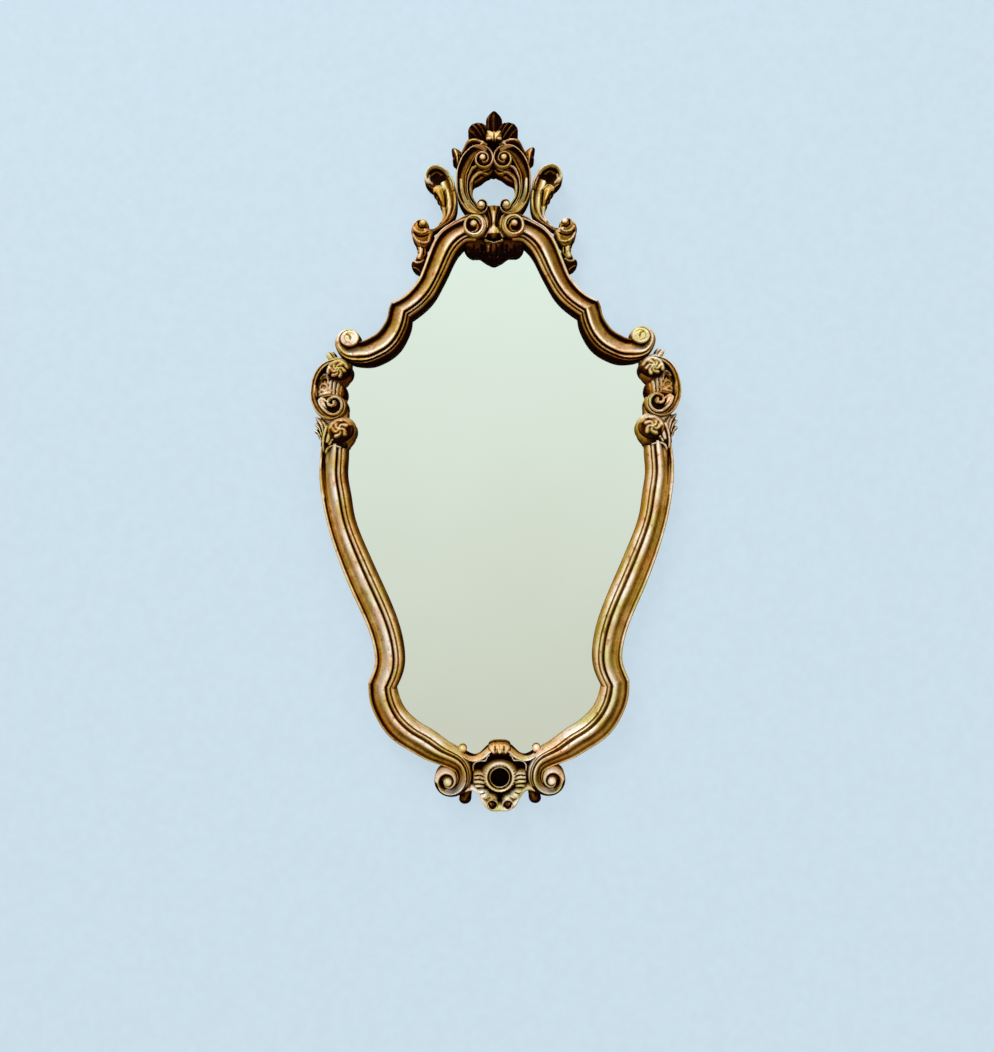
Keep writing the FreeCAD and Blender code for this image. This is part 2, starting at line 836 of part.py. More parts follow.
def rosette():
    """Turned ring with a deep round hollow, in the middle of the base."""
    front = size("rosette_front")
    radius = size("rosette_radius")
    hole = size("rosette_hole_radius")
    centre = at(*ROSETTE_SHARES)
    low = rebate_depth + size("overrun")
    rim = (radius + hole) / 2
    corners = [
        Vector(0, -low, 0),
        Vector(radius, -low, 0),
        Vector(radius, -size("leaf_edge"), 0),
        Vector(rim, -front, 0),
        Vector(hole, -size("leaf_front"), 0),
        Vector(hole, size("rosette_hole_depth") - front, 0),
        Vector(0, size("rosette_hole_depth") - front, 0),
    ]
    edges = [
        line(corners[0], corners[1]),
        line(corners[1], corners[2]),
        line(corners[2], corners[3]),
        line(corners[3], corners[4]),
        line(corners[4], corners[5]),
        line(corners[5], corners[6]),
        line(corners[6], corners[0]),
    ]
    face = Part.Face(Part.Wire(edges))
    turned = face.revolve(Vector(0, 0, 0), Vector(0, 1, 0), 360)
    turned.translate(centre)
    return turned


# Hidden hardware
def named(label, shape):
    """Document object that carries a shaped piece."""
    piece = doc.addObject("Part::Feature", label)
    piece.Label = label
    piece.Shape = shape
    piece.Placement = shape.Placement
    return piece


def cell(alias):
    """Expression that reads one driving size."""
    return "sizes." + alias


def bind(piece, **fields):
    """Bind fields of an object to expressions."""
    for field, expression in fields.items():
        piece.setExpression(field, expression)


def new_body(label):
    """Empty body with a name of its own."""
    piece = doc.addObject("PartDesign::Body", label)
    piece.Label = label
    return piece


def new_sketch(body, role, name):
    """Sketch on one of the origin planes of a body."""
    sketch = body.newObject("Sketcher::SketchObject", name)
    plane = next(part for part in body.Origin.OriginFeatures if part.Role == role)
    sketch.AttachmentSupport = (plane, [""])
    sketch.MapMode = "FlatFace"
    return sketch


def bind_constraint(sketch, constraint, name, expression):
    """Add a driving constraint that follows an expression."""
    index = sketch.addConstraint(constraint)
    sketch.renameConstraint(index, name)
    sketch.setExpression("Constraints." + name, expression)


def pad(body, sketch, name, length):
    """Pad of a sketch, its length an expression."""
    feature = body.newObject("PartDesign::Pad", name)
    feature.Profile = sketch
    feature.setExpression("Length", length)
    return feature


def pocket_through(body, sketch, name):
    """Cut a sketch through the whole body, both ways."""
    feature = body.newObject("PartDesign::Pocket", name)
    feature.Profile = sketch
    feature.Type = "ThroughAll"
    feature.Midplane = True
    return feature


def facing_wall(position, along):
    """Placement whose local Z points to the wall and whose local X runs along a heading."""
    out = Vector(0, 1, 0)
    return Placement(position, Rotation(along, out.cross(along), out, "ZXY"))


def plate_sketch(body, name, long_side, short_side):
    """Rectangle centred on the origin, with two driving sides."""
    sketch = new_sketch(body, "XY_Plane", name)
    half_long = size(long_side) / 2
    half_short = size(short_side) / 2
    signs = ((-1, -1), (1, -1), (1, 1), (-1, 1))
    corners = [Vector(x * half_long, y * half_short, 0) for x, y in signs]
    for first, last in zip(corners, corners[1:] + corners[:1]):
        sketch.addGeometry(Part.LineSegment(first, last))
    for index in range(len(corners)):
        follower = (index + 1) % len(corners)
        sketch.addConstraint(Sketcher.Constraint("Coincident", index, 2, follower, 1))
    sketch.addConstraint(Sketcher.Constraint("Horizontal", 0))
    sketch.addConstraint(Sketcher.Constraint("Horizontal", 2))
    sketch.addConstraint(Sketcher.Constraint("Vertical", 1))
    sketch.addConstraint(Sketcher.Constraint("Vertical", 3))
    sketch.addConstraint(Sketcher.Constraint("Symmetric", 0, 1, 2, 1, -1, 1))
    long_rule = Sketcher.Constraint("DistanceX", 0, 1, 0, 2, 2 * half_long)
    bind_constraint(sketch, long_rule, "long_side", cell(long_side))
    short_rule = Sketcher.Constraint("DistanceY", 1, 1, 1, 2, 2 * half_short)
    bind_constraint(sketch, short_rule, "short_side", cell(short_side))
    return sketch


def hole_sketch(body, name, across, radius):
    """Row of round holes on the X axis, at signed distances given as expressions."""
    sketch = new_sketch(body, "XY_Plane", name)
    for index, (sign, place_now, expression) in enumerate(across):
        centre = Vector(sign * place_now, 0, 0)
        circle = Part.Circle(centre, Vector(0, 0, 1), size("screw_radius"))
        sketch.addGeometry(circle)
        rule = Sketcher.Constraint("Radius", index, size("screw_radius"))
        bind_constraint(sketch, rule, f"radius_{index}", radius)
        if sign == 0:
            sketch.addConstraint(Sketcher.Constraint("Coincident", index, 3, -1, 1))
            continue
        sketch.addConstraint(Sketcher.Constraint("PointOnObject", index, 3, -1))
        pair = (-1, 1, index, 3) if sign > 0 else (index, 3, -1, 1)
        rule = Sketcher.Constraint("DistanceX", *pair, place_now)
        bind_constraint(sketch, rule, f"place_{index}", expression)
    return sketch


def batten(label, length, centre, signs):
    """Flat strip across a joint on the back, with screw holes along it."""
    body = new_body(label)
    plate = plate_sketch(body, label + "_outline", length, "batten_height")
    pad(body, plate, label + "_pad", cell("batten_thick"))
    reach = size(length) / 2 - size("batten_screw_inset")
    formula = cell(length) + " / 2 - " + cell("batten_screw_inset")
    across = [(sign, reach * abs(sign), f"({formula}) * {abs(sign)}") for sign in signs]
    holes = hole_sketch(body, label + "_holes", across, cell("screw_radius"))
    pocket_through(body, holes, label + "_drilling")
    body.Placement = facing_wall(centre, Vector(1, 0, 0))
    spots = [centre + Vector(sign * reach, size("batten_thick"), 0) for sign in signs]
    return body, spots


def turn_button(label, pivot, heading):
    """Flat button with round ends that turns on a screw at one end."""
    body = new_body(label)
    sketch = new_sketch(body, "XY_Plane", label + "_outline")
    radius = size("button_width") / 2
    reach = size("button_length") - size("button_width")
    quarter = math.pi / 2
    up = Vector(0, 0, 1)
    tail = Part.ArcOfCircle(Part.Circle(Vector(0, 0, 0), up, radius), quarter, 3 * quarter)
    nose_circle = Part.Circle(Vector(reach, 0, 0), up, radius)
    nose = Part.ArcOfCircle(nose_circle, -quarter, quarter)
    sketch.addGeometry(tail)
    sketch.addGeometry(nose)
    low_side = Part.LineSegment(Vector(0, -radius, 0), Vector(reach, -radius, 0))
    high_side = Part.LineSegment(Vector(reach, radius, 0), Vector(0, radius, 0))
    sketch.addGeometry(low_side)
    sketch.addGeometry(high_side)
    hole = Part.Circle(Vector(0, 0, 0), up, size("screw_radius"))
    sketch.addGeometry(hole)
    rules = [
        Sketcher.Constraint("Coincident", 0, 3, -1, 1),
        Sketcher.Constraint("Coincident", 4, 3, -1, 1),
        Sketcher.Constraint("PointOnObject", 1, 3, -1),
        Sketcher.Constraint("Tangent", 0, 2, 2, 1),
        Sketcher.Constraint("Tangent", 2, 2, 1, 1),
        Sketcher.Constraint("Tangent", 1, 2, 3, 1),
        Sketcher.Constraint("Tangent", 3, 2, 0, 1),
    ]
    for rule in rules:
        sketch.addConstraint(rule)
    width_rule = Sketcher.Constraint("Radius", 0, radius)
    bind_constraint(sketch, width_rule, "end_radius", cell("button_width") + " / 2")
    reach_rule = Sketcher.Constraint("DistanceX", -1, 1, 1, 3, reach)
    formula = cell("button_length") + " - " + cell("button_width")
    bind_constraint(sketch, reach_rule, "reach", formula)
    hole_rule = Sketcher.Constraint("Radius", 4, size("screw_radius"))
    formula = cell("screw_radius") + " + " + cell("running_clearance")
    bind_constraint(sketch, hole_rule, "hole_radius", formula)
    pad(body, sketch, label + "_pad", cell("button_thick"))
    body.Placement = facing_wall(pivot, heading)
    return body


def strap_hanger(label, eye_place):
    """Strap that is screwed to the back and carries a rolled eye."""
    plate = doc.addObject("Part::Box", label + "_plate")
    bind(
        plate,
        Length=cell("strap_width"),
        Width=cell("strap_length"),
        Height=cell("strap_thick"),
    )
    half = cell("strap_width") + " / 2"
    plate.setExpression("Placement.Base.x", "-" + half)
    plate.setExpression("Placement.Base.y", "-" + cell("strap_length"))
    barrel = eye_cylinder(label + "_barrel", cell("eye_radius"), half)
    bore_radius = cell("ring_wire_radius") + " + " + cell("running_clearance")
    bore = eye_cylinder(label + "_bore", bore_radius, half)
    tools = [bore]
    for number, place_name in enumerate(("strap_screw_first", "strap_screw_second")):
        hole = doc.addObject("Part::Cylinder", f"{label}_hole_{number}")
        bind(hole, Radius=cell("screw_radius"), Height=cell("strap_thick"))
        hole.setExpression("Placement.Base.y", "-" + cell(place_name))
        tools.append(hole)
    body = doc.addObject("Part::MultiFuse", label + "_body")
    body.Shapes = [plate, barrel]
    cutters = doc.addObject("Part::MultiFuse", label + "_cutters")
    cutters.Shapes = tools
    strap = doc.addObject("Part::Cut", label)
    strap.Label = label
    strap.Base = body
    strap.Tool = cutters
    strap.Placement = facing_wall(eye_place, Vector(-1, 0, 0))
    spots = []
    for place_name in ("strap_screw_first", "strap_screw_second"):
        drop = Vector(0, size("strap_thick"), -size(place_name))
        spots.append(eye_place + drop)
    return strap, spots


def eye_cylinder(name, radius, half):
    """Cylinder along local X, centred on the pivot of the ring."""
    cylinder = doc.addObject("Part::Cylinder", name)
    bind(cylinder, Radius=radius, Height=cell("strap_width"))
    cylinder.Placement = Placement(Vector(), Rotation(Vector(0, 1, 0), 90))
    cylinder.setExpression("Placement.Base.x", "-" + half)
    cylinder.setExpression("Placement.Base.z", cell("eye_lift"))
    return cylinder


def ring_shape():
    """D ring about its straight bar, in its local XY plane."""
    half = size("ring_width") / 2
    corner = size("ring_corner_radius")
    drop = size("ring_drop")
    cut = corner * (1 - math.sin(math.pi / 4))
    path = [
        line(Vector(0, 0, 0), Vector(half - corner, 0, 0)),
        arc(Vector(half - corner, 0, 0), Vector(half - cut, cut, 0), Vector(half, corner, 0)),
        line(Vector(half, corner, 0), Vector(half, drop, 0)),
        arc(Vector(half, drop, 0), Vector(0, drop + half, 0), Vector(-half, drop, 0)),
        line(Vector(-half, drop, 0), Vector(-half, corner, 0)),
        arc(Vector(-half, corner, 0), Vector(cut - half, cut, 0), Vector(corner - half, 0, 0)),
        line(Vector(corner - half, 0, 0), Vector(0, 0, 0)),
    ]
    wire_circle = Part.Circle(Vector(0, 0, 0), Vector(1, 0, 0), size("ring_wire_radius"))
    section = Part.Wire([wire_circle.toShape()])
    return Part.Wire(path).makePipeShell([section], True, False)


def screw_master():
    """Pan head screw, its head resting on the local XY plane."""
    shank = doc.addObject("Part::Cylinder", "screw_shank")
    bind(shank, Radius=cell("screw_radius"), Height=cell("screw_length"))
    shank.setExpression("Placement.Base.z", "-" + cell("screw_length"))
    head = doc.addObject("Part::Cylinder", "screw_head")
    bind(head, Radius=cell("screw_head_radius"), Height=cell("screw_head_height"))
    screw = doc.addObject("Part::Fuse", "screw_master")
    screw.Base = shank
    screw.Tool = head
    return screw


def group(label, master, spots):
    """Separate copies of one shape at several places on the back."""
    copies = []
    for spot in spots:
        copy = master.copy()
        copy.Placement = facing_wall(spot, Vector(1, 0, 0))
        copies.append(copy)
    return named(label, Part.makeCompound(copies))


def dowel(station):
    """Round peg square to the joint at one station."""
    outer, inner = ends(station)
    middle = between(outer, inner, dowel_place_share, size("dowel_depth"))
    axis = (outer - inner).cross(Vector(0, 1, 0)).normalize()
    start = middle - axis * (size("dowel_length") / 2)
    return Part.makeCylinder(size("dowel_radius"), size("dowel_length"), start, axis)


# Assembly
def build_hardware():
    """Board, glass, pads, battens, hangers, buttons, bumpers and their screws."""
    nodes = []
    board_growth = size("glass_clearance") - size("board_clearance")
    nodes.append(named("back_board", plate(board_growth, 0, size("board_thick"))))
    nodes.append(named("mirror_glass", plate(0, size("board_thick"), size("glass_thick"))))
    master = screw_master()
    doc.recompute()
    screw = master.Shape
    batten_rows = (
        ("crest_batten", "crest_batten_length", crest_batten_share, (-1, 0, 1)),
        ("top_batten", "top_batten_length", top_batten_share, (-1, 0, 1)),
        (
            "base_batten",
            "base_batten_length",
            base_batten_share,
            (-1, -inner_hole_share, inner_hole_share, 1),
        ),
    )
    batten_spots = []
    for label, length, up_share, signs in batten_rows:
        body, spots = batten(label, length, at(0, up_share), signs)
        nodes.append(body)
        batten_spots += spots
    nodes.append(group("batten_screws", screw, batten_spots))
    strap_spots = []
    eye_left = at(hanger_across_share, origin_up_share)
    for side, eye_place in (("left", eye_left), ("right", flipped(eye_left))):
        strap, spots = strap_hanger("hanger_strap_" + side, eye_place)
        nodes.append(strap)
        strap_spots += spots
        ring = named("hanger_ring_" + side, ring_shape())
        lift = Vector(0, size("eye_lift"), 0)
        ring.Placement = facing_wall(eye_place + lift, Vector(-1, 0, 0))
        nodes.append(ring)
    nodes.append(group("hanger_screws", screw, strap_spots))
    button_spots = []
    lift = Vector(0, size("button_thick") + size("running_clearance"), 0)
    for name, station in BUTTON_STATIONS:
        outer, inner = ends(station)
        pivot = between(outer, inner, button_pivot_share, 0)
        heading = (inner - outer).normalize()
        nodes.append(turn_button(f"turn_button_{name}_left", pivot, heading))
        other = turn_button(f"turn_button_{name}_right", flipped(pivot), flipped(heading))
        nodes.append(other)
        button_spots += [pivot + lift, flipped(pivot) + lift]
    nodes.append(group("turn_button_screws", screw, button_spots))
    bumper = Part.makeCylinder(size("bumper_radius"), size("bumper_thick"))
    bumper_spots = both_sides(places(BUMPER_SHARES))
    nodes.append(group("wall_bumpers", bumper, bumper_spots))
    nodes.append(named("glass_pads", glass_pads()))
    shanks = [screw_hole(spot) for spot in batten_spots + strap_spots + button_spots]
    return nodes, shanks


def glass_pads():
    """Thin pads that the lower edge of the glass stands on."""
    clearance = size("glass_clearance")
    glass = size("glass_thick")
    length = size("pad_length")
    low = at(pad_across_share, glass_bottom_share, size("board_thick") + glass)
    pads = []
    for centre in both_sides([low]):
        corner = centre - Vector(length / 2, 0, clearance)
        pads.append(Part.makeBox(length, glass, clearance, corner))
    return Part.makeCompound(pads)


def screw_hole(spot):
    """Hole in the wood for the shank of one screw."""
    return Part.makeCylinder(
        size("screw_radius"), size("screw_length"), spot, Vector(0, -1, 0)
    )


def pair(label, left_shape):
    """Left piece and its mirror image on the right."""
    left = named(label + "_left", left_shape)
    right = doc.addObject("Part::Mirroring", label + "_right")
    right.Label = label + "_right"
    right.Source = left
    right.Normal = Vector(1, 0, 0)
    return [left, right]


def build_frame(shanks):
    """Carved pieces, each cut back from the neighbours that run through it."""
    dowels = [dowel(station) for station in DOWEL_STATIONS]
    cutters = dowels + shanks
    upper = without(upper_rail(), cutters)
    shoulder = without(shoulder_rail(upper), cutters)
    side = without(side_rail(), cutters)
    base = without(base_rail(side), cutters)
    cartouche = without(side_cartouche(shoulder, side), cutters)
    crest = without(crest_scroll(upper), cutters)
    outer = without(outer_scroll(upper, crest), cutters)
    leaf = without(leaf_scroll(upper, outer), cutters)
    upper_right = mirrored(upper)
    crest_right = mirrored(crest)
    shell = without(crest_shell(crest, crest_right), shanks)
    key = without(keystone(upper, upper_right, crest, crest_right), shanks)
    ring = rosette()
    base_block = without(base_cartouche(base, mirrored(base), ring), shanks)
    nodes = []
    nodes += pair("upper_rail", upper)
    nodes += pair("shoulder_rail", shoulder)
    nodes += pair("side_rail", side)
    nodes += pair("base_rail", base)
    nodes += pair("side_cartouche", cartouche)
    nodes += pair("crest_scroll", crest)
    nodes += pair("outer_scroll", outer)
    nodes += pair("leaf_scroll", leaf)
    nodes.append(named("crest_shell", shell))
    nodes.append(named("keystone", key))
    nodes.append(named("apron", apron(upper, upper_right, key)))
    nodes.append(named("rosette", ring))
    nodes.append(named("base_cartouche", base_block))
    pegs = dowels + [mirrored(peg) for peg in dowels]
    nodes.append(named("joint_dowels", Part.makeCompound(pegs)))
    return nodes


def check(nodes):
    """Stop if any object failed or any piece is not a valid solid."""
    for item in doc.Objects:
        if "Invalid" in item.State or "Error" in item.State:
            raise RuntimeError(f"{item.Label} failed: {item.State}")
    for node in nodes:
        shape = node.Shape
        if shape.isNull() or not shape.isValid() or not shape.Solids:
            raise RuntimeError(f"{node.Label} has no valid solid")


def main():
    """Build every piece and write it out."""
    hardware, shanks = build_hardware()
    nodes = build_frame(shanks) + hardware
    doc.recompute()
    check(nodes)
    os.makedirs("parts", exist_ok=True)
    for node in nodes:
        node.Shape.exportStep(f"parts/{node.Label}.step")
        solids = len(node.Shape.Solids)
        print(f"{node.Label}: {solids} solid, {node.Shape.Volume:.0f} cubic mm")


main()
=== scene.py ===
"""Looks of a carved and gilded wall mirror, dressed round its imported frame.

Carved pieces are laid out on the left half and mirrored. Places on them are shares of the
half width and of the height, as in the part's source. Heights stand in front of the flat back.
"""

import itertools
import logging
import math
from dataclasses import dataclass
from enum import Enum

import bpy
import numpy as np
from mathutils import Matrix, Vector
from mathutils.bvhtree import BVHTree


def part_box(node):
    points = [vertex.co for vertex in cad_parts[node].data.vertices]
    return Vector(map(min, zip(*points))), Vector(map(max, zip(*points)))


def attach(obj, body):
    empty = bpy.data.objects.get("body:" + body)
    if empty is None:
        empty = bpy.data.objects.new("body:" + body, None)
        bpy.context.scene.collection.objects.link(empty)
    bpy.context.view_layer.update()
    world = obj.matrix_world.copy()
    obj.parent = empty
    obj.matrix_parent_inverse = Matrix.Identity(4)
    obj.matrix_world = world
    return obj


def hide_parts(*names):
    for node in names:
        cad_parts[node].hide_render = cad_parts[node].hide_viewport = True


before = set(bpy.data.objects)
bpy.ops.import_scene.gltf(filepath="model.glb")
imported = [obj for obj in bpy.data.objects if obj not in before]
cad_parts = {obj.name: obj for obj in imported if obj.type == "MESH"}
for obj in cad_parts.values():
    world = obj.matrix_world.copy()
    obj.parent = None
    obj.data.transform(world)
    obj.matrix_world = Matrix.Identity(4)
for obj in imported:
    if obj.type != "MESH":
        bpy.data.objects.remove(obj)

LOG = logging.getLogger("mirror")
Pair = tuple[float, float]
Row = tuple[float, float, float, float]
Colour = tuple[float, float, float]
Socket = bpy.types.NodeSocket

MILLIMETRE = 0.001
# Across and up of the mirror, in millimetres; places on it are shares of these
HALF_WIDTH = 235.5
HEIGHT = 872.0
ORIGIN_UP_SHARE = 0.618
MARKS_ACROSS = 1000
MARKS_UP = 10000
# Least height of what stands in front of the glass, and the reach looked at round a place
GLASS_CLEAR = 7.5
GLASS_REACH = 1.4
SECTION_POINTS = 36
STATIONS_PER_TURN = 20
# A lift of a band starts at this height and is full this much above it
LIFT_FROM = 10
LIFT_OVER = 8
# Backs that overlap must not share one plane, so each shell's back has a step of its own
BACK_STEP = 0.04
BACK_COUNT = 29
BACKS = itertools.count()
# Across a band, where its flat back has its points
BACK_SHARES = (1.0, 0.9, 0.8, 0.7, 0.6, 0.5, 0.35, 0.2, 0.1, 0.0)
# Half widths from a stroke that count as outside it, and how soon the tone it paints, wear with
# painted highlight and shade, is full
FAR = 9.0
SHINE_GAIN = 2.2
LINE_STEP = 0.8


def spot(across: float, up: float) -> np.ndarray:
    """Place x, z in millimetres of a pair of shares on the left half.

    Args:
        across: Share of the half width, from the centre line.
        up: Share of the height, from the lowest point.

    Returns:
        Array of x and z.
    """
    return np.array((-across * HALF_WIDTH, (up - ORIGIN_UP_SHARE) * HEIGHT))


def spots(*marks: int) -> tuple[Pair, ...]:
    """Places as pairs of shares.

    Args:
        marks: In turn across in thousandths and up in ten-thousandths.

    Returns:
        The pairs.
    """
    return tuple((a / MARKS_ACROSS, u / MARKS_UP) for a, u in zip(marks[::2], marks[1::2]))


def edge_rows(*marks: int) -> tuple[Row, ...]:
    """Stations of a band, each with a place on both edges, from marks as in spots."""
    places = spots(*marks)
    return tuple((*first, *second) for first, second in zip(places[::2], places[1::2]))


def eased(share: np.ndarray) -> np.ndarray:
    """Share from 0 to 1 with a soft start and end."""
    return share * share * (3 - 2 * share)


def smooth_through(rows: np.ndarray, step: float) -> tuple[np.ndarray, np.ndarray]:
    """Natural cubic curve through rows of numbers, sampled evenly.

    Args:
        rows: One row per place, in millimetres.
        step: Greatest distance between samples.

    Returns:
        Sampled rows, and for each sample its place counted in input rows.
    """
    count = len(rows)
    middles = (rows[:, :2] + rows[:, 2:4]) / 2
    gaps = np.linalg.norm(np.diff(middles, axis=0), axis=1)
    wide = np.linalg.norm(np.diff(rows[:, :2], axis=0), axis=1)
    wide = np.maximum(wide, np.linalg.norm(np.diff(rows[:, 2:4], axis=0), axis=1))
    gaps = np.maximum(np.maximum(gaps, wide), 0.05)
    knots = np.concatenate(([0.0], np.cumsum(gaps)))
    matrix = np.eye(count)
    right = np.zeros_like(rows)
    for i in range(1, count - 1):
        before, after = gaps[i - 1], gaps[i]
        matrix[i, i - 1 : i + 2] = before, 2 * (before + after), after
        rise = (rows[i + 1] - rows[i]) / after - (rows[i] - rows[i - 1]) / before
        right[i] = 6 * rise
    bend = np.linalg.solve(matrix, right)
    samples = max(int(knots[-1] / step) + 1, 4)
    along = np.linspace(0, knots[-1], samples)
    span = np.clip(np.searchsorted(knots, along, side="right") - 1, 0, count - 2)
    gap = gaps[span][:, None]
    past = (along - knots[span])[:, None]
    left = gap - past
    out = bend[span] * left**3 / (6 * gap) + bend[span + 1] * past**3 / (6 * gap)
    out += (rows[span] / gap - bend[span] * gap / 6) * left
    out += (rows[span + 1] / gap - bend[span + 1] * gap / 6) * past
    return out, span + (past / gap)[:, 0]


@dataclass
class Shell:
    """Closed mesh. Points are x, height and z in millimetres; its tone is 0 dark, 1 bright: dark
    in hollows as patina and painted shade, bright on crests as wear and painted highlight.
    """

    points: np.ndarray
    faces: list[tuple[int, ...]]
    wear_and_painted_light: np.ndarray

    def mirrored(self) -> "Shell":
        """The same shell on the other half."""
        return Shell(self.points * (-1, 1, 1), [f[::-1] for f in self.faces], self.wear_and_painted_light)

    def outward(self) -> "Shell":
        """The shell with its faces turned outward."""
        total = 0.0
        world = self.points * (1, -1, 1)
        for face in self.faces:
            first = world[face[0]]
            for a, b in zip(face[1:-1], face[2:]):
                total += float(np.dot(first, np.cross(world[a], world[b])))
        if total >= 0:
            return self
        return Shell(self.points, [f[::-1] for f in self.faces], self.wear_and_painted_light)


def loft(rings: np.ndarray, wear_and_painted_light: np.ndarray) -> Shell:
    """Closed shell through rings of points, with a flat cap at both ends.

    Args:
        rings: Array of rings, each a closed loop of x, height, z.
        wear_and_painted_light: Tone of every ring point, wear and patina with painted highlight
            and shade.

    Returns:
        The shell, its faces outward.
    """
    count, width = rings.shape[:2]
    faces: list[tuple[int, ...]] = []
    for i in range(count - 1):
        low, high = i * width, (i + 1) * width
        for j in range(width):
            k = (j + 1) % width
            faces.append((low + j, low + k, high + k, high + j))
    faces.append(tuple(range(width))[::-1])
    faces.append(tuple(range((count - 1) * width, count * width)))
    return Shell(rings.reshape(-1, 3), faces, wear_and_painted_light.reshape(-1)).outward()


class Side(Enum):
    """Edge of a band that turns outermost in its coil."""

    FIRST = 1
    SECOND = 2


@dataclass(frozen=True)
class Section:
    """Carved profile across a band: share across, height and tone of each corner, the tone being
    wear and patina with painted highlight and shade.
    """

    corners: tuple[tuple[float, float, float], ...]

    def sampled(self) -> np.ndarray:
        """Profile with the common number of points."""
        given = np.array(self.corners)
        at = np.linspace(0, len(given) - 1, SECTION_POINTS)
        columns = [np.interp(at, np.arange(len(given)), given[:, i]) for i in range(3)]
        return np.stack(columns, axis=1)

    def flipped(self) -> "Section":
        """The profile seen from the other edge."""
        return Section(tuple((1 - c[0], c[1], c[2]) for c in reversed(self.corners)))

    def toned(self, tones: tuple[Pair, ...]) -> "Section":
        """The same profile with its tone read from pairs of share across and tone, wear with
        painted highlight and shade.
        """
        given = np.array(tones)
        wear_and_painted_light_tone = np.interp([c[0] for c in self.corners], given[:, 0], given[:, 1])
        return Section(tuple((c[0], c[1], float(w)) for c, w in zip(self.corners, wear_and_painted_light_tone)))


def domed(edge: float, crown: float) -> Section:
    """Profile of a plain rounded band."""
    corners = [(0.0, GLASS_CLEAR, 0.1)]
    inner = SECTION_POINTS - 2
    for i in range(inner):
        share = i / (inner - 1)
        swell = math.sin(math.pi * share)
        # Tone brightest on the crown: wear and a painted highlight
        corners.append((share, edge + (crown - edge) * swell**0.6, 0.25 + 0.75 * swell))
    corners.append((1.0, GLASS_CLEAR, 0.1))
    return Section(tuple(corners))


RAIL = Section(
    (
        (0.0, 8.0, 0.1), (0.0, 18.0, 0.3), (0.005, 22.5, 0.4), (0.02, 25.6, 0.56),
        (0.045, 27.0, 0.68), (0.095, 26.8, 0.62), (0.12, 25.0, 0.24), (0.135, 22.8, 0.12),
        (0.155, 21.4, 0.36), (0.18, 20.4, 0.48), (0.205, 19.8, 0.28), (0.24, 19.4, 0.46),
        (0.32, 19.9, 0.54), (0.38, 22.0, 0.56), (0.43, 25.2, 0.76), (0.48, 28.4, 0.92),
        (0.53, 30.8, 0.98), (0.57, 31.8, 1.0), (0.61, 32.0, 1.0), (0.64, 31.4, 0.84),
        (0.665, 30.2, 0.3), (0.685, 28.4, 0.02), (0.71, 27.0, 0.02), (0.735, 27.4, 0.34),
        (0.765, 28.8, 0.8), (0.81, 29.2, 0.86), (0.84, 28.0, 0.46), (0.86, 26.6, 0.14),
        (0.88, 26.8, 0.3), (0.905, 27.6, 0.66), (0.935, 27.0, 0.66), (0.97, 25.6, 0.6),
        (1.0, 24.0, 0.5), (1.02, 21.0, 0.42), (1.045, 15.0, 0.4), (1.05, 11.0, 0.38),
        (1.05, 7.5, 0.36),
    ),
)
RIM = Section(
    (
        (0.0, 8.0, 0.2), (0.0, 16.0, 0.4), (0.0, 28.0, 0.55), (0.02, 32.0, 0.85),
        (0.07, 35.0, 1.0), (0.14, 36.0, 1.0), (0.22, 35.6, 1.0), (0.28, 34.0, 0.8),
        (0.32, 31.0, 0.35), (0.37, 28.5, 0.12), (0.44, 27.2, 0.08), (0.52, 26.6, 0.08),
        (0.62, 26.4, 0.1), (0.72, 26.6, 0.14), (0.82, 27.0, 0.2), (0.9, 27.4, 0.22),
        (1.0, 27.4, 0.12), (1.0, 8.0, 0.05),
    )
)
CHANNEL = Section(
    (
        (0.0, 8.0, 0.2), (0.0, 20.0, 0.4), (0.01, 29.0, 0.7), (0.04, 33.2, 0.95),
        (0.09, 34.8, 1.0), (0.14, 34.6, 0.95), (0.18, 32.6, 0.5), (0.22, 30.0, 0.2),
        (0.28, 27.6, 0.14), (0.36, 26.0, 0.2), (0.46, 25.4, 0.34), (0.56, 25.8, 0.5),
        (0.66, 27.0, 0.65), (0.75, 28.8, 0.8), (0.83, 30.4, 0.9), (0.9, 31.0, 0.85),
        (0.95, 30.0, 0.5), (1.0, 27.5, 0.2), (1.0, 16.0, 0.1), (1.0, 8.0, 0.05),
    )
)
LIP = Section(
    (
        (0.0, 8.0, 0.2), (0.0, 16.0, 0.4), (0.0, 22.0, 0.6), (0.08, 25.6, 0.9),
        (0.3, 27.4, 1.0), (0.55, 27.2, 1.0), (0.8, 25.0, 0.7), (1.0, 20.0, 0.2),
        (1.0, 8.0, 0.1),
    )
)
INNER = Section(
    (
        (0.0, 8.0, 0.1), (0.0, 20.0, 0.2), (0.04, 27.0, 0.7), (0.1, 29.0, 1.0), (0.17, 28.6, 0.8),
        (0.24, 26.0, 0.2), (0.34, 24.0, 0.2), (0.46, 24.4, 0.4), (0.56, 26.4, 0.7),
        (0.64, 27.4, 0.85), (0.72, 26.4, 0.5), (0.78, 24.0, 0.15), (0.86, 23.0, 0.3),
        (0.94, 22.6, 0.6), (1.0, 20.6, 0.5), (1.0, 8.0, 0.05),
    ),
)
STEM = Section(
    (
        (0.0, 8.0, 0.1), (0.0, 20.0, 0.3), (0.03, 27.5, 0.7), (0.09, 30.5, 1.0),
        (0.16, 30.8, 0.95), (0.22, 28.0, 0.3), (0.28, 26.4, 0.12), (0.36, 27.0, 0.3),
        (0.45, 29.4, 0.75), (0.54, 30.6, 0.9), (0.62, 29.8, 0.7), (0.68, 27.0, 0.2),
        (0.73, 26.2, 0.15), (0.8, 27.4, 0.45), (0.88, 28.2, 0.8), (0.95, 26.6, 0.7),
        (1.0, 22.0, 0.4), (1.0, 8.0, 0.1),
    ),
)
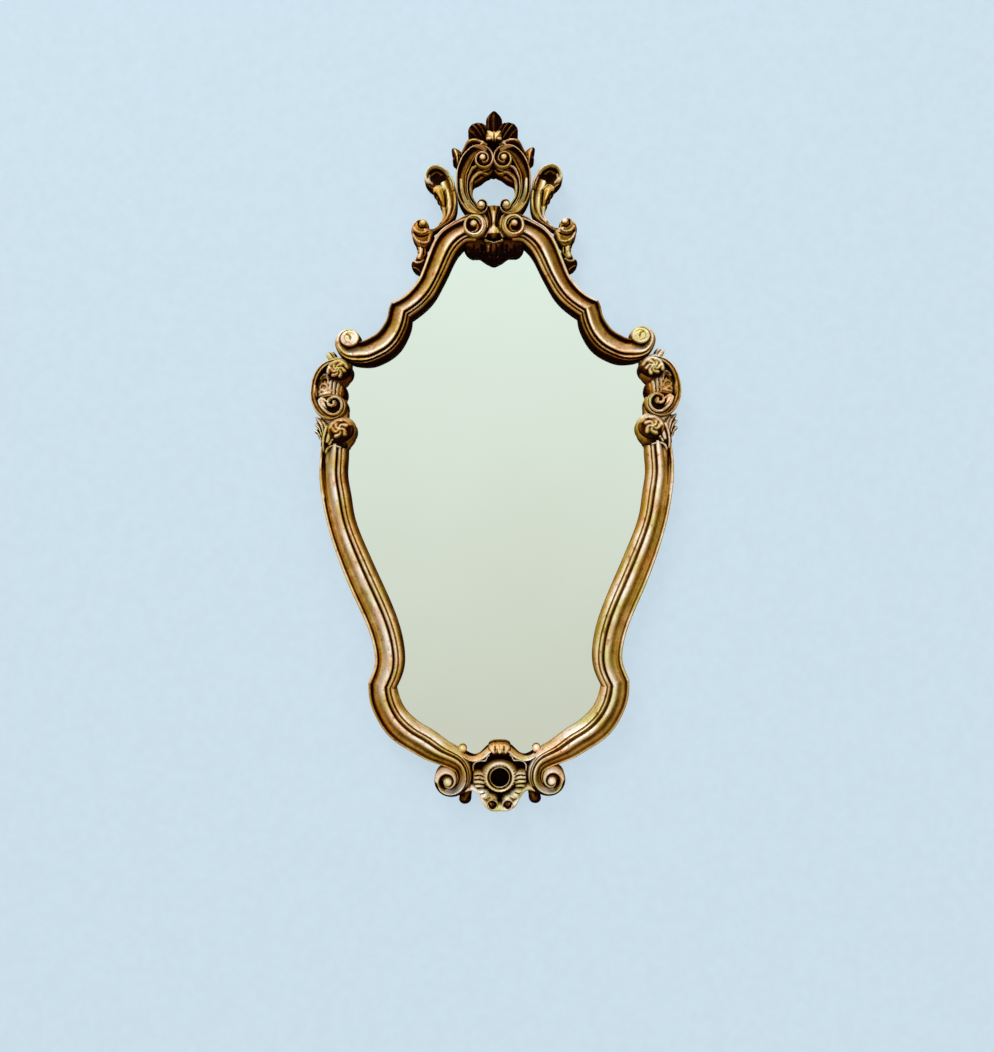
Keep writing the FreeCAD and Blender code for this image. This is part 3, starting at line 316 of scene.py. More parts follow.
# Tones across the rails: wear and patina, with painted highlights on the lip and beads and painted
# shade on the inner walls by the glass
UPPER_TONES = (
    (0.0, 0.9), (0.03, 1.12), (0.1, 1.1), (0.125, 0.4), (0.15, 0.06), (0.20, 0.16), (0.30, 0.36),
    (0.42, 0.5), (0.52, 0.62), (0.575, 0.62), (0.605, 1.0), (0.64, 1.0), (0.66, 0.2), (0.70, -0.2),
    (0.735, 0.3), (0.77, 0.66), (0.81, 0.6), (0.84, 0.2), (0.87, 0.2), (0.905, 0.66), (0.98, 0.6),
    (1.01, 0.1), (1.05, -0.2),
)
SHOULDER_TONES = (
    (0.0, 0.1), (0.05, 0.5), (0.09, 0.2), (0.15, 0.15), (0.25, 0.36), (0.40, 0.5), (0.52, 0.56),
    (0.575, 0.55), (0.605, 1.0), (0.64, 1.0), (0.66, 0.2), (0.70, -0.2), (0.735, 0.2),
    (0.77, 0.62), (0.81, 0.5), (0.84, 0.0), (0.87, 0.1), (0.905, 0.36), (0.94, 0.3), (0.99, 0.1),
    (1.05, -0.3),
)
BASE_TONES = (
    (0.0, 0.3), (0.05, 0.6), (0.09, 0.3), (0.13, 0.1), (0.2, 0.36), (0.3, 0.42), (0.40, 0.6),
    (0.48, 0.95), (0.6, 1.05), (0.64, 0.8), (0.665, 0.1), (0.70, -0.1), (0.735, 0.4), (0.77, 0.72),
    (0.81, 0.7), (0.84, 0.2), (0.87, 0.1), (0.905, 0.7), (0.97, 0.7), (1.0, 0.6), (1.05, 0.56),
)
CREST_TONES = (
    (0.0, 0.2), (0.04, 0.6), (0.1, 0.66), (0.15, 0.2), (0.2, 0.0), (0.32, 0.06), (0.45, 0.24),
    (0.6, 0.36), (0.72, 0.36), (0.8, 0.05), (0.85, -0.15), (0.9, 0.5), (0.95, 0.5), (1.0, 0.0),
)
TAIL_TONES = (
    (0.0, 0.4), (0.04, 0.8), (0.12, 0.9), (0.2, 0.3), (0.35, 0.5), (0.6, 0.95), (0.8, 1.0),
    (1.0, 0.3),
)
RAMP = Section(
    (
        (0.0, 8.0, 0.1), (0.0, 10.0, 0.2), (0.12, 15.0, 0.4), (0.3, 20.6, 0.55), (0.46, 24.6, 0.5),
        (0.58, 27.0, 0.7), (0.68, 28.2, 0.95), (0.78, 28.2, 0.8), (0.88, 26.6, 0.3),
        (1.0, 23.0, 0.0), (1.0, 8.0, 0.0),
    ),
)
CSCROLL = Section(
    (
        (0.0, 8.0, 0.1), (0.0, 15.0, 0.4), (0.0, 21.0, 0.6), (0.06, 26.6, 0.85),
        (0.18, 30.6, 0.88), (0.28, 31.4, 0.7), (0.36, 30.4, 0.26), (0.48, 30.0, 0.22),
        (0.62, 31.0, 0.4), (0.76, 31.8, 0.48), (0.88, 30.6, 0.36), (1.0, 26.0, 0.0),
        (1.0, 8.0, 0.0),
    ),
)
COLLAR = Section(
    (
        (0.0, 8.0, 0.1), (0.0, 18.0, 0.3), (0.02, 25.0, 0.45), (0.12, 29.5, 0.55),
        (0.28, 32.0, 0.66), (0.45, 32.6, 0.72), (0.6, 31.6, 0.55), (0.72, 29.0, 0.2),
        (0.84, 27.0, 0.0), (1.0, 26.6, -0.1), (1.0, 8.0, 0.0),
    ),
)
BASE_RIM = Section(
    (
        (0.0, 8.0, 0.2), (0.0, 16.0, 0.3), (0.0, 21.0, 0.35), (0.06, 27.0, 0.5), (0.14, 31.6, 0.8),
        (0.24, 35.0, 1.0), (0.34, 36.2, 1.0), (0.44, 35.0, 0.8), (0.54, 32.0, 0.35),
        (0.64, 29.4, 0.0), (0.76, 28.8, 0.2), (0.9, 29.0, 0.3), (1.0, 29.2, 0.1), (1.0, 8.0, 0.05),
    ),
)
FLUTE_RIDGES = (
    spots(131, 539, 107, 550, 83, 524), spots(134, 485, 107, 496, 82, 470),
    spots(134, 428, 107, 436, 82, 413), spots(128, 365, 105, 370, 84, 361),
)
FLUTE_GAPS = (
    spots(133, 512, 107, 523, 81, 497), spots(134, 457, 107, 466, 82, 441),
    spots(132, 397, 106, 403, 83, 387), spots(124, 337, 103, 339, 87, 333),
)


@dataclass(frozen=True)
class Coil:
    """Spiral end of a band, wound about a centre."""

    centre: Pair
    start: float
    spin: int
    radii: tuple[Pair, ...]
    last: float
    outermost: Side = Side.FIRST
    first: float = 0.0

    def radius(self, turn: np.ndarray) -> np.ndarray:
        """Distance from the centre after a number of turns."""
        table = np.array(self.radii)
        return np.interp(turn, table[:, 0], table[:, 1])

    def rows(self) -> np.ndarray:
        """Both edges of every station, in millimetres."""
        turns = np.arange(self.first, self.last, 1 / STATIONS_PER_TURN)
        middle = spot(*self.centre)
        angle = np.radians(self.start + self.spin * 360 * turns)
        heading = np.stack((np.cos(angle), np.sin(angle)), axis=1)
        outer = middle + heading * self.radius(turns)[:, None]
        inner = middle + heading * self.radius(turns + 1)[:, None]
        pair = (outer, inner) if self.outermost is Side.FIRST else (inner, outer)
        return np.concatenate(pair, axis=1)


@dataclass(frozen=True)
class Band:
    """Carved band between two edges, which may wind into a coil at its end."""

    rows: tuple[Row, ...]
    section: Section
    coil: Coil | None = None
    coil_section: Section | None = None
    change: Pair = (0.0, 1.0)
    lifts: tuple[Pair, ...] = ((0.0, 0.0),)
    low: float = 0.0
    step: float = 1.6

    def shell(self) -> Shell:
        """Closed mesh of the band.

        Returns:
            The shell, from the back plane to the carved front.
        """
        given = [np.concatenate((spot(r[0], r[1]), spot(r[2], r[3]))) for r in self.rows]
        table = np.array(given).reshape(-1, 4)
        straight = len(table)
        if self.coil is not None:
            wound = self.coil.rows()
            table = np.concatenate((table, wound)) if straight else wound
        edges, place = smooth_through(table, self.step)
        # Along the band: 0 to 1 on its straight rows, then one more per turn of the coil
        along = place / max(straight - 1, 1)
        if self.coil is not None and straight:
            turned = 1 + (place - straight + 1) / STATIONS_PER_TURN
            along = np.where(place > straight - 1, turned, along)
        elif self.coil is not None:
            along = place / STATIONS_PER_TURN
        first = self.section.sampled()
        last = (self.coil_section or self.section).sampled()
        share = np.clip((along - self.change[0]) / (self.change[1] - self.change[0]), 0, 1)
        share = eased(share)[:, None]
        across, height, wear_and_painted_light = (first[:, i] * (1 - share) + last[:, i] * share for i in range(3))
        lifts = np.array(self.lifts)
        lift = np.interp(along, lifts[:, 0], lifts[:, 1])
        raised = np.clip((height - LIFT_FROM) / LIFT_OVER, 0, 1)
        height = height + lift[:, None] * raised
        back = np.tile(BACK_SHARES, (len(edges), 1)) * across[:, -1:]
        across = np.concatenate((across, back), axis=1)
        height = np.concatenate((height, np.full_like(back, self.low)), axis=1)
        wear_and_painted_light = np.concatenate((wear_and_painted_light, np.zeros_like(back)), axis=1)
        outer, inner = edges[:, None, :2], edges[:, None, 2:]
        flat = outer + (inner - outer) * across[:, :, None]
        rings = np.stack((flat[:, :, 0], height, flat[:, :, 1]), axis=2)
        return loft(rings, wear_and_painted_light)


@dataclass(frozen=True)
class Turned:
    """Round carved boss: radius, height and tone (wear with painted highlight and shade) from its
    rim to its middle.
    """

    centre: Pair
    profile: tuple[tuple[float, float, float], ...]
    low: float = 0.0
    flutes: int = 0
    depth: float = 0.0
    reach: Pair = (0.2, 0.9)
    squash: tuple[float, float, float] = (1.0, 1.0, 1.0)
    segments: int = 72
    finer: int = 3

    def shell(self) -> Shell:
        """Closed mesh of the boss.

        Returns:
            The shell, from its low face to its front.
        """
        given = np.array(self.profile)
        at = np.linspace(0, len(given) - 1, (len(given) - 1) * self.finer + 1)
        index = np.arange(len(given))
        radius, height, wear_and_painted_light = (np.interp(at, index, given[:, i]) for i in range(3))
        rim = radius[0]
        radius = np.concatenate(([rim * 0.02, rim * 0.5, rim], radius))
        height = np.concatenate(([self.low, self.low, self.low], height))
        wear_and_painted_light = np.concatenate(([0.0, 0.0, 0.1], wear_and_painted_light))
        angle = np.linspace(0, 2 * math.pi, self.segments, endpoint=False)
        share = (radius / given[:, 0].max())[:, None]
        tall = np.repeat(height[:, None], self.segments, axis=1)
        wear_and_painted_light_tone = np.repeat(wear_and_painted_light[:, None], self.segments, axis=1)
        if self.flutes:
            low, high = self.reach
            fade = np.clip((share - low) / 0.15, 0, 1) * np.clip((high - share) / 0.12, 0, 1)
            sharp = (1 - np.abs(np.cos(self.flutes * angle[None, :]))) ** 0.8
            fade[:3] = 0
            tall = tall - self.depth * fade * (1 - sharp)
            wear_and_painted_light_tone = wear_and_painted_light_tone * (1 - fade) + fade * (0.05 + 0.95 * sharp)
        wide, up, down = self.squash
        reach_up = np.where(np.sin(angle) >= 0, up, down)
        middle = spot(*self.centre)
        x = middle[0] + radius[:, None] * np.cos(angle) * wide
        z = middle[1] + radius[:, None] * np.sin(angle) * reach_up
        return loft(np.stack((x, tall, z), axis=2), wear_and_painted_light_tone)


def ball(centre: Pair, radius: float, front: float, low: float = GLASS_CLEAR) -> Turned:
    """Round eye or pearl.

    Args:
        centre: Place as shares.
        radius: Radius in millimetres.
        front: Height of its top.
        low: Height of its underside.

    Returns:
        The boss.
    """
    profile = [(radius, max(low, front - radius * 1.6), 0.3)]
    for i in range(7):
        angle = math.radians(90 * i / 6)
        rise = front - radius + radius * math.sin(angle)
        # Tone brightest on its crown: wear and a painted highlight
        profile.append((max(radius * math.cos(angle), 0.05), rise, 0.4 + 0.6 * math.sin(angle)))
    return Turned(centre, tuple(profile), low, segments=32, finer=1)


def nearness(places: np.ndarray, line: np.ndarray, widths: Pair) -> np.ndarray:
    """Distance of places to a line, in half widths of a stroke along it.

    Args:
        places: One x, z pair per place.
        line: Corners of the line, in the same units.
        widths: Half width of the stroke at its start and at its end.

    Returns:
        Ratio of distance to half width, below 1 inside the stroke.
    """
    best = np.full(len(places), FAR)
    runs = len(line) - 1
    for i in range(runs):
        run = line[i + 1] - line[i]
        share = np.clip((places - line[i]) @ run / max(run @ run, 1e-9), 0, 1)
        gap = np.linalg.norm(places - line[i] - share[:, None] * run, axis=1)
        wide = widths[0] + (widths[1] - widths[0]) * (i + share) / runs
        best = np.minimum(best, gap / wide)
    return best


@dataclass(frozen=True)
class Stroke:
    """Ridge or groove along a line of places, with the tone it reaches: bright strokes are wear
    and painted highlight, dark ones patina and painted shade.
    """

    places: tuple[Pair, ...]
    widths: Pair
    rise: float
    reached_wear_and_painted_light: float

    def line(self) -> np.ndarray:
        """Smooth line through the places, in millimetres."""
        given = np.array([spot(*place) for place in self.places])
        if len(given) < 3:
            return given
        return smooth_through(np.concatenate((given, given), axis=1), LINE_STEP)[0][:, :2]


def stroke(widths: Pair, rise: float, reached_wear_and_painted_light: float, *marks: int) -> Stroke:
    """Stroke along places given by marks, as in spots."""
    return Stroke(spots(*marks), widths, rise, reached_wear_and_painted_light)


def whirl(
    centre: Pair, reach: Pair, count: int, turn: float, widths: Pair, rise: float, reached_wear_and_painted_light: float
) -> tuple[Stroke, ...]:
    """Curved petals that fan out from one place like a pinwheel.

    Args:
        centre: Place as shares.
        reach: Distances at which a petal starts and ends, in millimetres.
        count: Number of petals.
        turn: Degrees that a petal turns on its way out.
        widths: Width of a petal at its start and end.
        rise: Rise of a petal over the ground.
        reached_wear_and_painted_light: Tone that it reaches, wear and a painted highlight.

    Returns:
        One stroke for each petal.
    """
    strokes = []
    for i in range(count):
        places = []
        for share in (0.0, 0.5, 1.0):
            angle = math.radians(360 * i / count + turn * share)
            far = reach[0] + (reach[1] - reach[0]) * share
            across = centre[0] + far * math.cos(angle) / HALF_WIDTH
            places.append((across, centre[1] + far * math.sin(angle) / HEIGHT))
        strokes.append(Stroke(tuple(places), widths, rise, reached_wear_and_painted_light))
    return tuple(strokes)


@dataclass(frozen=True)
class Face:
    """Carved face inside an outline that can be seen whole from its centre."""

    centre: Pair
    outline: tuple[Pair, ...]
    profile: tuple[tuple[float, float, float], ...]
    low: float = 0.0
    tilt: Pair = (0.0, 0.0)
    segments: int = 112
    rings: int = 20

    def shell(self) -> Shell:
        """Closed mesh of the face.

        Returns:
            The shell, from its low side to its front.
        """
        middle = spot(*self.centre)
        edge = np.array([spot(*place) for place in self.outline]) - middle
        angle = np.unwrap(np.arctan2(edge[:, 1], edge[:, 0]))
        if angle[-1] < angle[0]:
            angle, edge = angle[::-1], edge[::-1]
        reach = np.linalg.norm(edge, axis=1)
        angle = np.concatenate((angle - 2 * math.pi, angle, angle + 2 * math.pi))
        reach = np.tile(reach, 3)
        turn = np.linspace(0, 2 * math.pi, self.segments, endpoint=False)
        start = angle[len(edge)]
        radius = np.interp(start + turn, angle, reach)
        radius = (np.roll(radius, 1) + 2 * radius + np.roll(radius, -1)) / 4
        given = np.array(self.profile)
        inward = 1 - np.linspace(0, 1, self.rings) ** 1.3 * 0.985
        heights = np.interp(1 - inward, 1 - given[:, 0], given[:, 1])
        wear_and_painted_light_tone = np.interp(1 - inward, 1 - given[:, 0], given[:, 2])
        backs = np.array((0.02, 0.3, 0.6, 0.85, 1.0, 1.0))
        lows = np.array((self.low,) * 5 + (self.low + (given[0, 1] - self.low) * 0.7,))
        share = np.concatenate((backs, inward))
        height = np.concatenate((lows, heights))
        wear_and_painted_light = np.concatenate((np.zeros(4), np.full(2, given[0, 2]), wear_and_painted_light_tone))
        flat = radius[None, :] * share[:, None]
        x = flat * np.cos(start + turn)[None, :]
        z = flat * np.sin(start + turn)[None, :]
        tall = height[:, None] + (x * self.tilt[0] + z * self.tilt[1]) * (share[:, None] > 0)
        tall[:5] = self.low
        rings = np.stack((middle[0] + x, tall, middle[1] + z), axis=2)
        return loft(rings, np.repeat(wear_and_painted_light[:, None], self.segments, axis=1))


@dataclass(frozen=True)
class Cut:
    """A shape with strokes carved into its front."""

    shape: "Band | Turned | Face"
    strokes: tuple[Stroke, ...]
    floor: float = 13.0

    def shell(self) -> Shell:
        """Closed mesh of the shape, its front moved by the strokes.

        Returns:
            The shell.
        """
        shell = self.shape.shell()
        points, wear_and_painted_light = shell.points.copy(), shell.wear_and_painted_light.copy()
        front = np.nonzero(points[:, 1] > self.floor)[0]
        places = points[front][:, (0, 2)]
        for mark in self.strokes:
            near = 1 - nearness(places, mark.line(), mark.widths)
            share = eased(np.clip(near, 0, 1))
            points[front, 1] += mark.rise * share
            # Each stroke paints its tone over the shape's: wear and patina with painted highlight
            # and shade
            blend = np.minimum(share * SHINE_GAIN, 1)
            wear_and_painted_light[front] += (mark.reached_wear_and_painted_light - wear_and_painted_light[front]) * blend
        return Shell(points, shell.faces, wear_and_painted_light)


Shape = Band | Turned | Face | Cut


def cut(shape: Band | Turned | Face, *strokes: Stroke) -> Cut:
    """Shape with the strokes carved into it."""
    return Cut(shape, strokes)


class Glass:
    """Where the mirror glass lies, so that carving stays clear of it."""

    def __init__(self) -> None:
        """Reads the glass of the frame."""
        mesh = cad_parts["mirror_glass"].data
        corners = [v.co.copy() for v in mesh.vertices]
        self.tree = BVHTree.FromPolygons(corners, [tuple(p.vertices) for p in mesh.polygons])
        self.low, self.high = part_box("mirror_glass")

    def covers(self, x: float, z: float) -> bool:
        """True if a place in millimetres is over the glass or within its clearance."""
        for dx, dz in ((0, 0), (1, 0), (-1, 0), (0, 1), (0, -1)):
            aside, above = x + dx * GLASS_REACH, z + dz * GLASS_REACH
            start = Vector((aside * MILLIMETRE, -1.0, above * MILLIMETRE))
            if self.tree.ray_cast(start, Vector((0, 1, 0)))[0] is not None:
                return True
        return False

    def clear(self, shell: Shell) -> Shell:
        """Lifts what lies under the glass line of a shell to the front of the glass."""
        points = shell.points.copy()
        for index in np.nonzero(points[:, 1] < GLASS_CLEAR)[0]:
            if self.covers(points[index, 0], points[index, 2]):
                points[index, 1] = GLASS_CLEAR
        return Shell(points, shell.faces, shell.wear_and_painted_light)


@dataclass(frozen=True)
class Graph:
    """Node tree of a material or world, with short calls to add and link nodes."""

    tree: bpy.types.NodeTree

    def fill(self, node: bpy.types.Node, inputs: dict) -> None:
        """Links or sets the inputs of a node, by their name or number."""
        for key, value in inputs.items():
            if isinstance(value, Socket):
                self.tree.links.new(value, node.inputs[key])
            else:
                node.inputs[key].default_value = value

    def add(self, kind: str, inputs: dict | None = None, **settings: object) -> bpy.types.Node:
        """New node with its settings and inputs.

        Args:
            kind: Blender's name of the node.
            inputs: Values or sockets by input name or number.
            settings: Attributes of the node.

        Returns:
            The node.
        """
        node = self.tree.nodes.new(kind)
        for name, value in settings.items():
            setattr(node, name, value)
        self.fill(node, inputs or {})
        return node

    def place(self) -> Socket:
        """Place on the object."""
        return self.add("ShaderNodeTexCoord").outputs["Object"]

    def ramp(self, factor: Socket, stops: tuple[tuple[float, Colour], ...]) -> Socket:
        """Colour ramp with stops of place and colour."""
        node = self.add("ShaderNodeValToRGB", {0: factor})
        band = node.color_ramp
        while len(band.elements) > 1:
            band.elements.remove(band.elements[-1])
        band.elements[0].position = stops[0][0]
        band.elements[0].color = (*stops[0][1], 1)
        for place, colour in stops[1:]:
            band.elements.new(place).color = (*colour, 1)
        return node.outputs[0]

    def noise(self, place: Socket, scale: float, detail: float) -> Socket:
        """Factor of a noise texture."""
        values = {"Vector": place, "Scale": scale, "Detail": detail}
        return self.add("ShaderNodeTexNoise", values).outputs[0]

    def sums(self, operation: str, *values: object) -> Socket:
        """Result of one arithmetic node."""
        inputs = dict(enumerate(values))
        return self.add("ShaderNodeMath", inputs, operation=operation).outputs[0]

    def scaled(self, value: Socket, by: float, more: float) -> Socket:
        """Value times a number, plus another."""
        return self.sums("MULTIPLY_ADD", value, by, more)

    def span(self, value: Socket, given: Pair = (0.0, 1.0), wanted: Pair = (0.0, 1.0)) -> Socket:
        """Value carried from one range to another, and held inside it."""
        names = ("From Min", "From Max", "To Min", "To Max")
        ends = dict(zip(names, (*given, *wanted)))
        return self.add("ShaderNodeMapRange", {"Value": value, **ends}).outputs[0]

    def bump(self, height: Socket, strength: float, distance: float) -> Socket:
        """Normal bent by a height."""
        values = {"Strength": strength, "Distance": distance, "Height": height}
        return self.add("ShaderNodeBump", values).outputs[0]

    def mixed(self, kind: str, factor: object, *colours: Socket | Colour) -> Socket:
        """Mix of two colours."""
        node = self.add("ShaderNodeMix", {0: factor}, data_type="RGBA", blend_type=kind)
        for slot, value in zip((6, 7), colours):
            self.fill(node, {slot: value if isinstance(value, Socket) else (*value, 1)})
        return node.outputs[2]


def linear(red: int, green: int, blue: int) -> Colour:
    """Linear colour of a colour given in steps of 255."""

    def channel(value: int) -> float:
        """One channel."""
        share = value / 255
        return share / 12.92 if share <= 0.04045 else ((share + 0.055) / 1.055) ** 2.4

    return channel(red), channel(green), channel(blue)


def new_graph(name: str) -> tuple[bpy.types.Material, Graph, bpy.types.Node]:
    """Empty node material.

    Args:
        name: Name of the material.

    Returns:
        The material, its graph and its shader.
    """
    material = bpy.data.materials.new(name)
    material.use_nodes = True
    shader = material.node_tree.nodes["Principled BSDF"]
    return material, Graph(material.node_tree), shader


@dataclass(frozen=True)
class Tint:
    """Patches of a colour over another: noise scale and detail, where they start, colour."""

    scale: float
    detail: float
    reach: Pair
    colour: Colour

    def mask(self, graph: Graph, place: Socket) -> Socket:
        """Share of the colour at a place."""
        return graph.span(graph.noise(place, self.scale, self.detail), self.reach)


@dataclass(frozen=True)
class Gilding:
    """Old gold leaf over dark bole: pale and rosy where worn and where a highlight is painted,
    umber in the hollows as patina and painted shade, darker on what faces away from a fixed light
    as painted shade.
    """

    name: str = "old_gold_leaf"
    # Colours by how worn a place is and how lit it is painted to be
    tones: tuple[tuple[float, Colour], ...] = (
        (0.06, linear(26, 11, 7)), (0.2, linear(86, 44, 16)), (0.36, linear(150, 108, 34)),
        (0.54, linear(208, 166, 84)), (0.74, linear(244, 218, 172)), (0.9, linear(255, 246, 230)),
    )
    rose: Tint = Tint(38.0, 3.0, (0.46, 0.62), linear(236, 204, 186))
    rose_share: float = 0.55
    rose_tones: Pair = (0.62, 0.9)
    verdigris: Tint = Tint(26.0, 2.0, (0.46, 0.6), linear(228, 230, 172))
    bole: Tint = Tint(150.0, 3.0, (0.57, 0.74), linear(208, 150, 118))
    copper: Tint = Tint(19.0, 3.0, (0.44, 0.6), linear(255, 232, 206))
    bare_wood: Colour = linear(150, 116, 78)
    bare_grain: Colour = linear(120, 90, 60)
    edge_tint: Colour = (0.42, 0.27, 0.10)
    # Direction of the painted light: faces towards it are painted lighter as highlight, faces
    # turned away are painted darker as shade
    light: tuple[float, float, float] = (-0.30, -0.50, 0.81)
    painted_light_facing: Pair = (-0.3, 0.95)
    painted_light_shade: Pair = (-0.44, 0.30)
    rough: Pair = (0.36, 0.6)
    metal: Pair = (0.32, 0.0)
    steep: Pair = (0.6, 0.9)
    # Scale and detail of the noises
    fine: Pair = (420.0, 5.0)
    broad: Pair = (60.0, 4.0)
    wear: Pair = (55.0, 4.0)
    grain: Pair = (700.0, 4.0)
    # Slope and offset: how far both noises shift a tone, how far the tone scales that shift and
    # the painted light and shade, and the tone's own part
    wear_shift: Pair = (0.44, -0.22)
    fine_shift: Pair = (0.34, -0.17)
    relief_gain: Pair = (0.6, 0.5)
    relief_tone: Pair = (1.12, -0.02)
    # Wood on what faces the wall
    backward: Pair = (0.9, 0.98)
    grain_share: float = 0.6
    bare_rough: float = 0.8
    bump: Pair = (0.4, 0.0009)

    def tone(self, graph: Graph, place: Socket, fine: Socket) -> Socket:
        """Colour of the leaf from its carved tone and its wear, with painted light and shade from
        the way it faces a fixed light.

        Args:
            graph: Graph of the material.
            place: Place on the object.
            fine: Fine noise.

        Returns:
            The colour.
        """
        wear_and_painted_light_tone = graph.add("ShaderNodeAttribute", attribute_name="wear_and_painted_light").outputs["Fac"]
        broad = graph.scaled(graph.noise(place, *self.wear), *self.wear_shift)
        shift = graph.sums("ADD", broad, graph.scaled(fine, *self.fine_shift))
        normal = graph.add("ShaderNodeNewGeometry").outputs["Normal"]
        toward = {0: normal, 1: self.light}
        painted_light_facing = graph.add("ShaderNodeVectorMath", toward, operation="DOT_PRODUCT")
        # Painted light and shade: the tone is shifted up on faces towards the fixed light and down
        # on faces away from it
        painted_light_shade = graph.span(painted_light_facing.outputs["Value"], self.painted_light_facing, self.painted_light_shade)
        strength = graph.scaled(wear_and_painted_light_tone, *self.relief_gain)
        noise_and_painted_light_shift = graph.sums("MULTIPLY", graph.sums("ADD", shift, painted_light_shade), strength)
        total = graph.sums("ADD", graph.scaled(wear_and_painted_light_tone, *self.relief_tone), noise_and_painted_light_shift)
        colour = graph.ramp(total, self.tones)
        bright = graph.span(total, self.rose_tones)
        rosy = graph.sums("MULTIPLY", self.rose.mask(graph, place), bright)
        rosy = graph.sums("MULTIPLY", rosy, self.rose_share)
        colour = graph.mixed("MIX", rosy, colour, self.rose.colour)
        for tint in (self.verdigris, self.bole, self.copper):
            colour = graph.mixed("MULTIPLY", tint.mask(graph, place), colour, tint.colour)
        return colour

    def material(self) -> bpy.types.Material:
        """Node material of the gilding, with bare wood on what faces the wall."""
        material, graph, shader = new_graph(self.name)
        place = graph.place()
        fine = graph.noise(place, *self.fine)
        broad = graph.noise(place, *self.broad)
        colour = self.tone(graph, place, fine)
        grain = graph.add("ShaderNodeMapping", {0: place, 3: (1.0, 1.0, 0.08)}).outputs[0]
        lines = graph.noise(grain, *self.grain)
        lines = graph.ramp(lines, ((0.3, self.bare_grain), (0.7, (1, 1, 1))))
        wood = graph.mixed("MULTIPLY", self.grain_share, self.bare_wood, lines)
        normal = graph.add("ShaderNodeNewGeometry").outputs["Normal"]
        backward = graph.add("ShaderNodeSeparateXYZ", {0: normal}).outputs[1]
        behind = graph.span(backward, self.backward)
        rough = graph.span(fine, wanted=self.rough)
        bare = graph.sums("MULTIPLY", behind, self.bare_rough)
        steep = graph.add("ShaderNodeLayerWeight", {"Blend": 0.5}).outputs["Facing"]
        metal = graph.span(steep, self.steep, self.metal)
        halves = [graph.sums("MULTIPLY", noise, 0.5) for noise in (fine, broad)]
        graph.fill(shader, {
            "Base Color": graph.mixed("MIX", behind, colour, wood),
            "Roughness": graph.sums("MAXIMUM", rough, bare),
            "Metallic": graph.sums("MULTIPLY", graph.sums("SUBTRACT", 1.0, behind), metal),
            "Normal": graph.bump(graph.sums("ADD", *halves), *self.bump),
            "Specular Tint": (*self.edge_tint, 1),
            "Specular IOR Level": 0.0,
        })
        return material


@dataclass(frozen=True)
class Silvering:
    """Mirror glass with an old, slightly green silvering."""

    name: str = "old_silvered_glass"
    # The colour runs from upper at the top to lower at the bottom, a painted reflection: lighter
    # above, darker and yellower below
    upper: Colour = linear(226, 241, 230)
    lower: Colour = linear(205, 209, 194)
    ends: Pair = (-0.45, 0.15)
    haze: Pair = (0.02, 0.05)
    cloud: Pair = (5.0, 3.0)
    cloud_shift: Pair = (0.3, -0.15)
    film: Pair = (30.0, 4.0)

    def material(self) -> bpy.types.Material:
        """Node material of the mirror."""
        material, graph, shader = new_graph(self.name)
        place = graph.place()
        up = graph.add("ShaderNodeSeparateXYZ", {0: place}).outputs[2]
        cloud = graph.scaled(graph.noise(place, *self.cloud), *self.cloud_shift)
        level = graph.sums("ADD", graph.span(up, self.ends), cloud)
        graph.fill(shader, {
            "Base Color": graph.ramp(level, ((0.0, self.lower), (1.0, self.upper))),
            "Metallic": 1.0,
            "Roughness": graph.span(graph.noise(place, *self.film), wanted=self.haze),
        })
        return material


@dataclass(frozen=True)
class Timber:
    """Plain wood with its grain along one axis."""

    name: str
    light: Colour
    dark: Colour
    stretch: tuple[float, float, float]
    scale: float = 260.0
    roughness: float = 0.62

    def material(self) -> bpy.types.Material:
        """Node material of the wood."""
        material, graph, shader = new_graph(self.name)
        inputs = {0: graph.place(), 3: self.stretch}
        grain = graph.add("ShaderNodeMapping", inputs).outputs[0]
        lines = graph.noise(grain, self.scale, 6.0)
        broad = graph.noise(grain, self.scale / 8, 2.0)
        parts = (graph.sums("MULTIPLY", lines, 0.6), graph.sums("MULTIPLY", broad, 0.4))
        both = graph.sums("ADD", *parts)
        graph.fill(shader, {
            "Base Color": graph.ramp(both, ((0.32, self.dark), (0.66, self.light))),
            "Normal": graph.bump(lines, 0.3, 0.0004),
            "Roughness": self.roughness,
        })
        return material


@dataclass(frozen=True)
class Fitting:
    """Metal or rubber of the small fittings, with brushed or moulded grain."""

    name: str
    light: Colour
    dark: Colour
    metallic: float
    rough: Pair
    scale: float = 500.0

    def material(self) -> bpy.types.Material:
        """Node material of the fitting."""
        material, graph, shader = new_graph(self.name)
        place = graph.place()
        stain = graph.noise(place, self.scale / 4, 4.0)
        fine = graph.noise(place, self.scale * 3, 3.0)
        graph.fill(shader, {
            "Base Color": graph.ramp(stain, ((0.3, self.dark), (0.65, self.light))),
            "Roughness": graph.span(fine, wanted=self.rough),
            "Normal": graph.bump(fine, 0.2, 0.0002),
            "Metallic": self.metallic,
        })
        return material


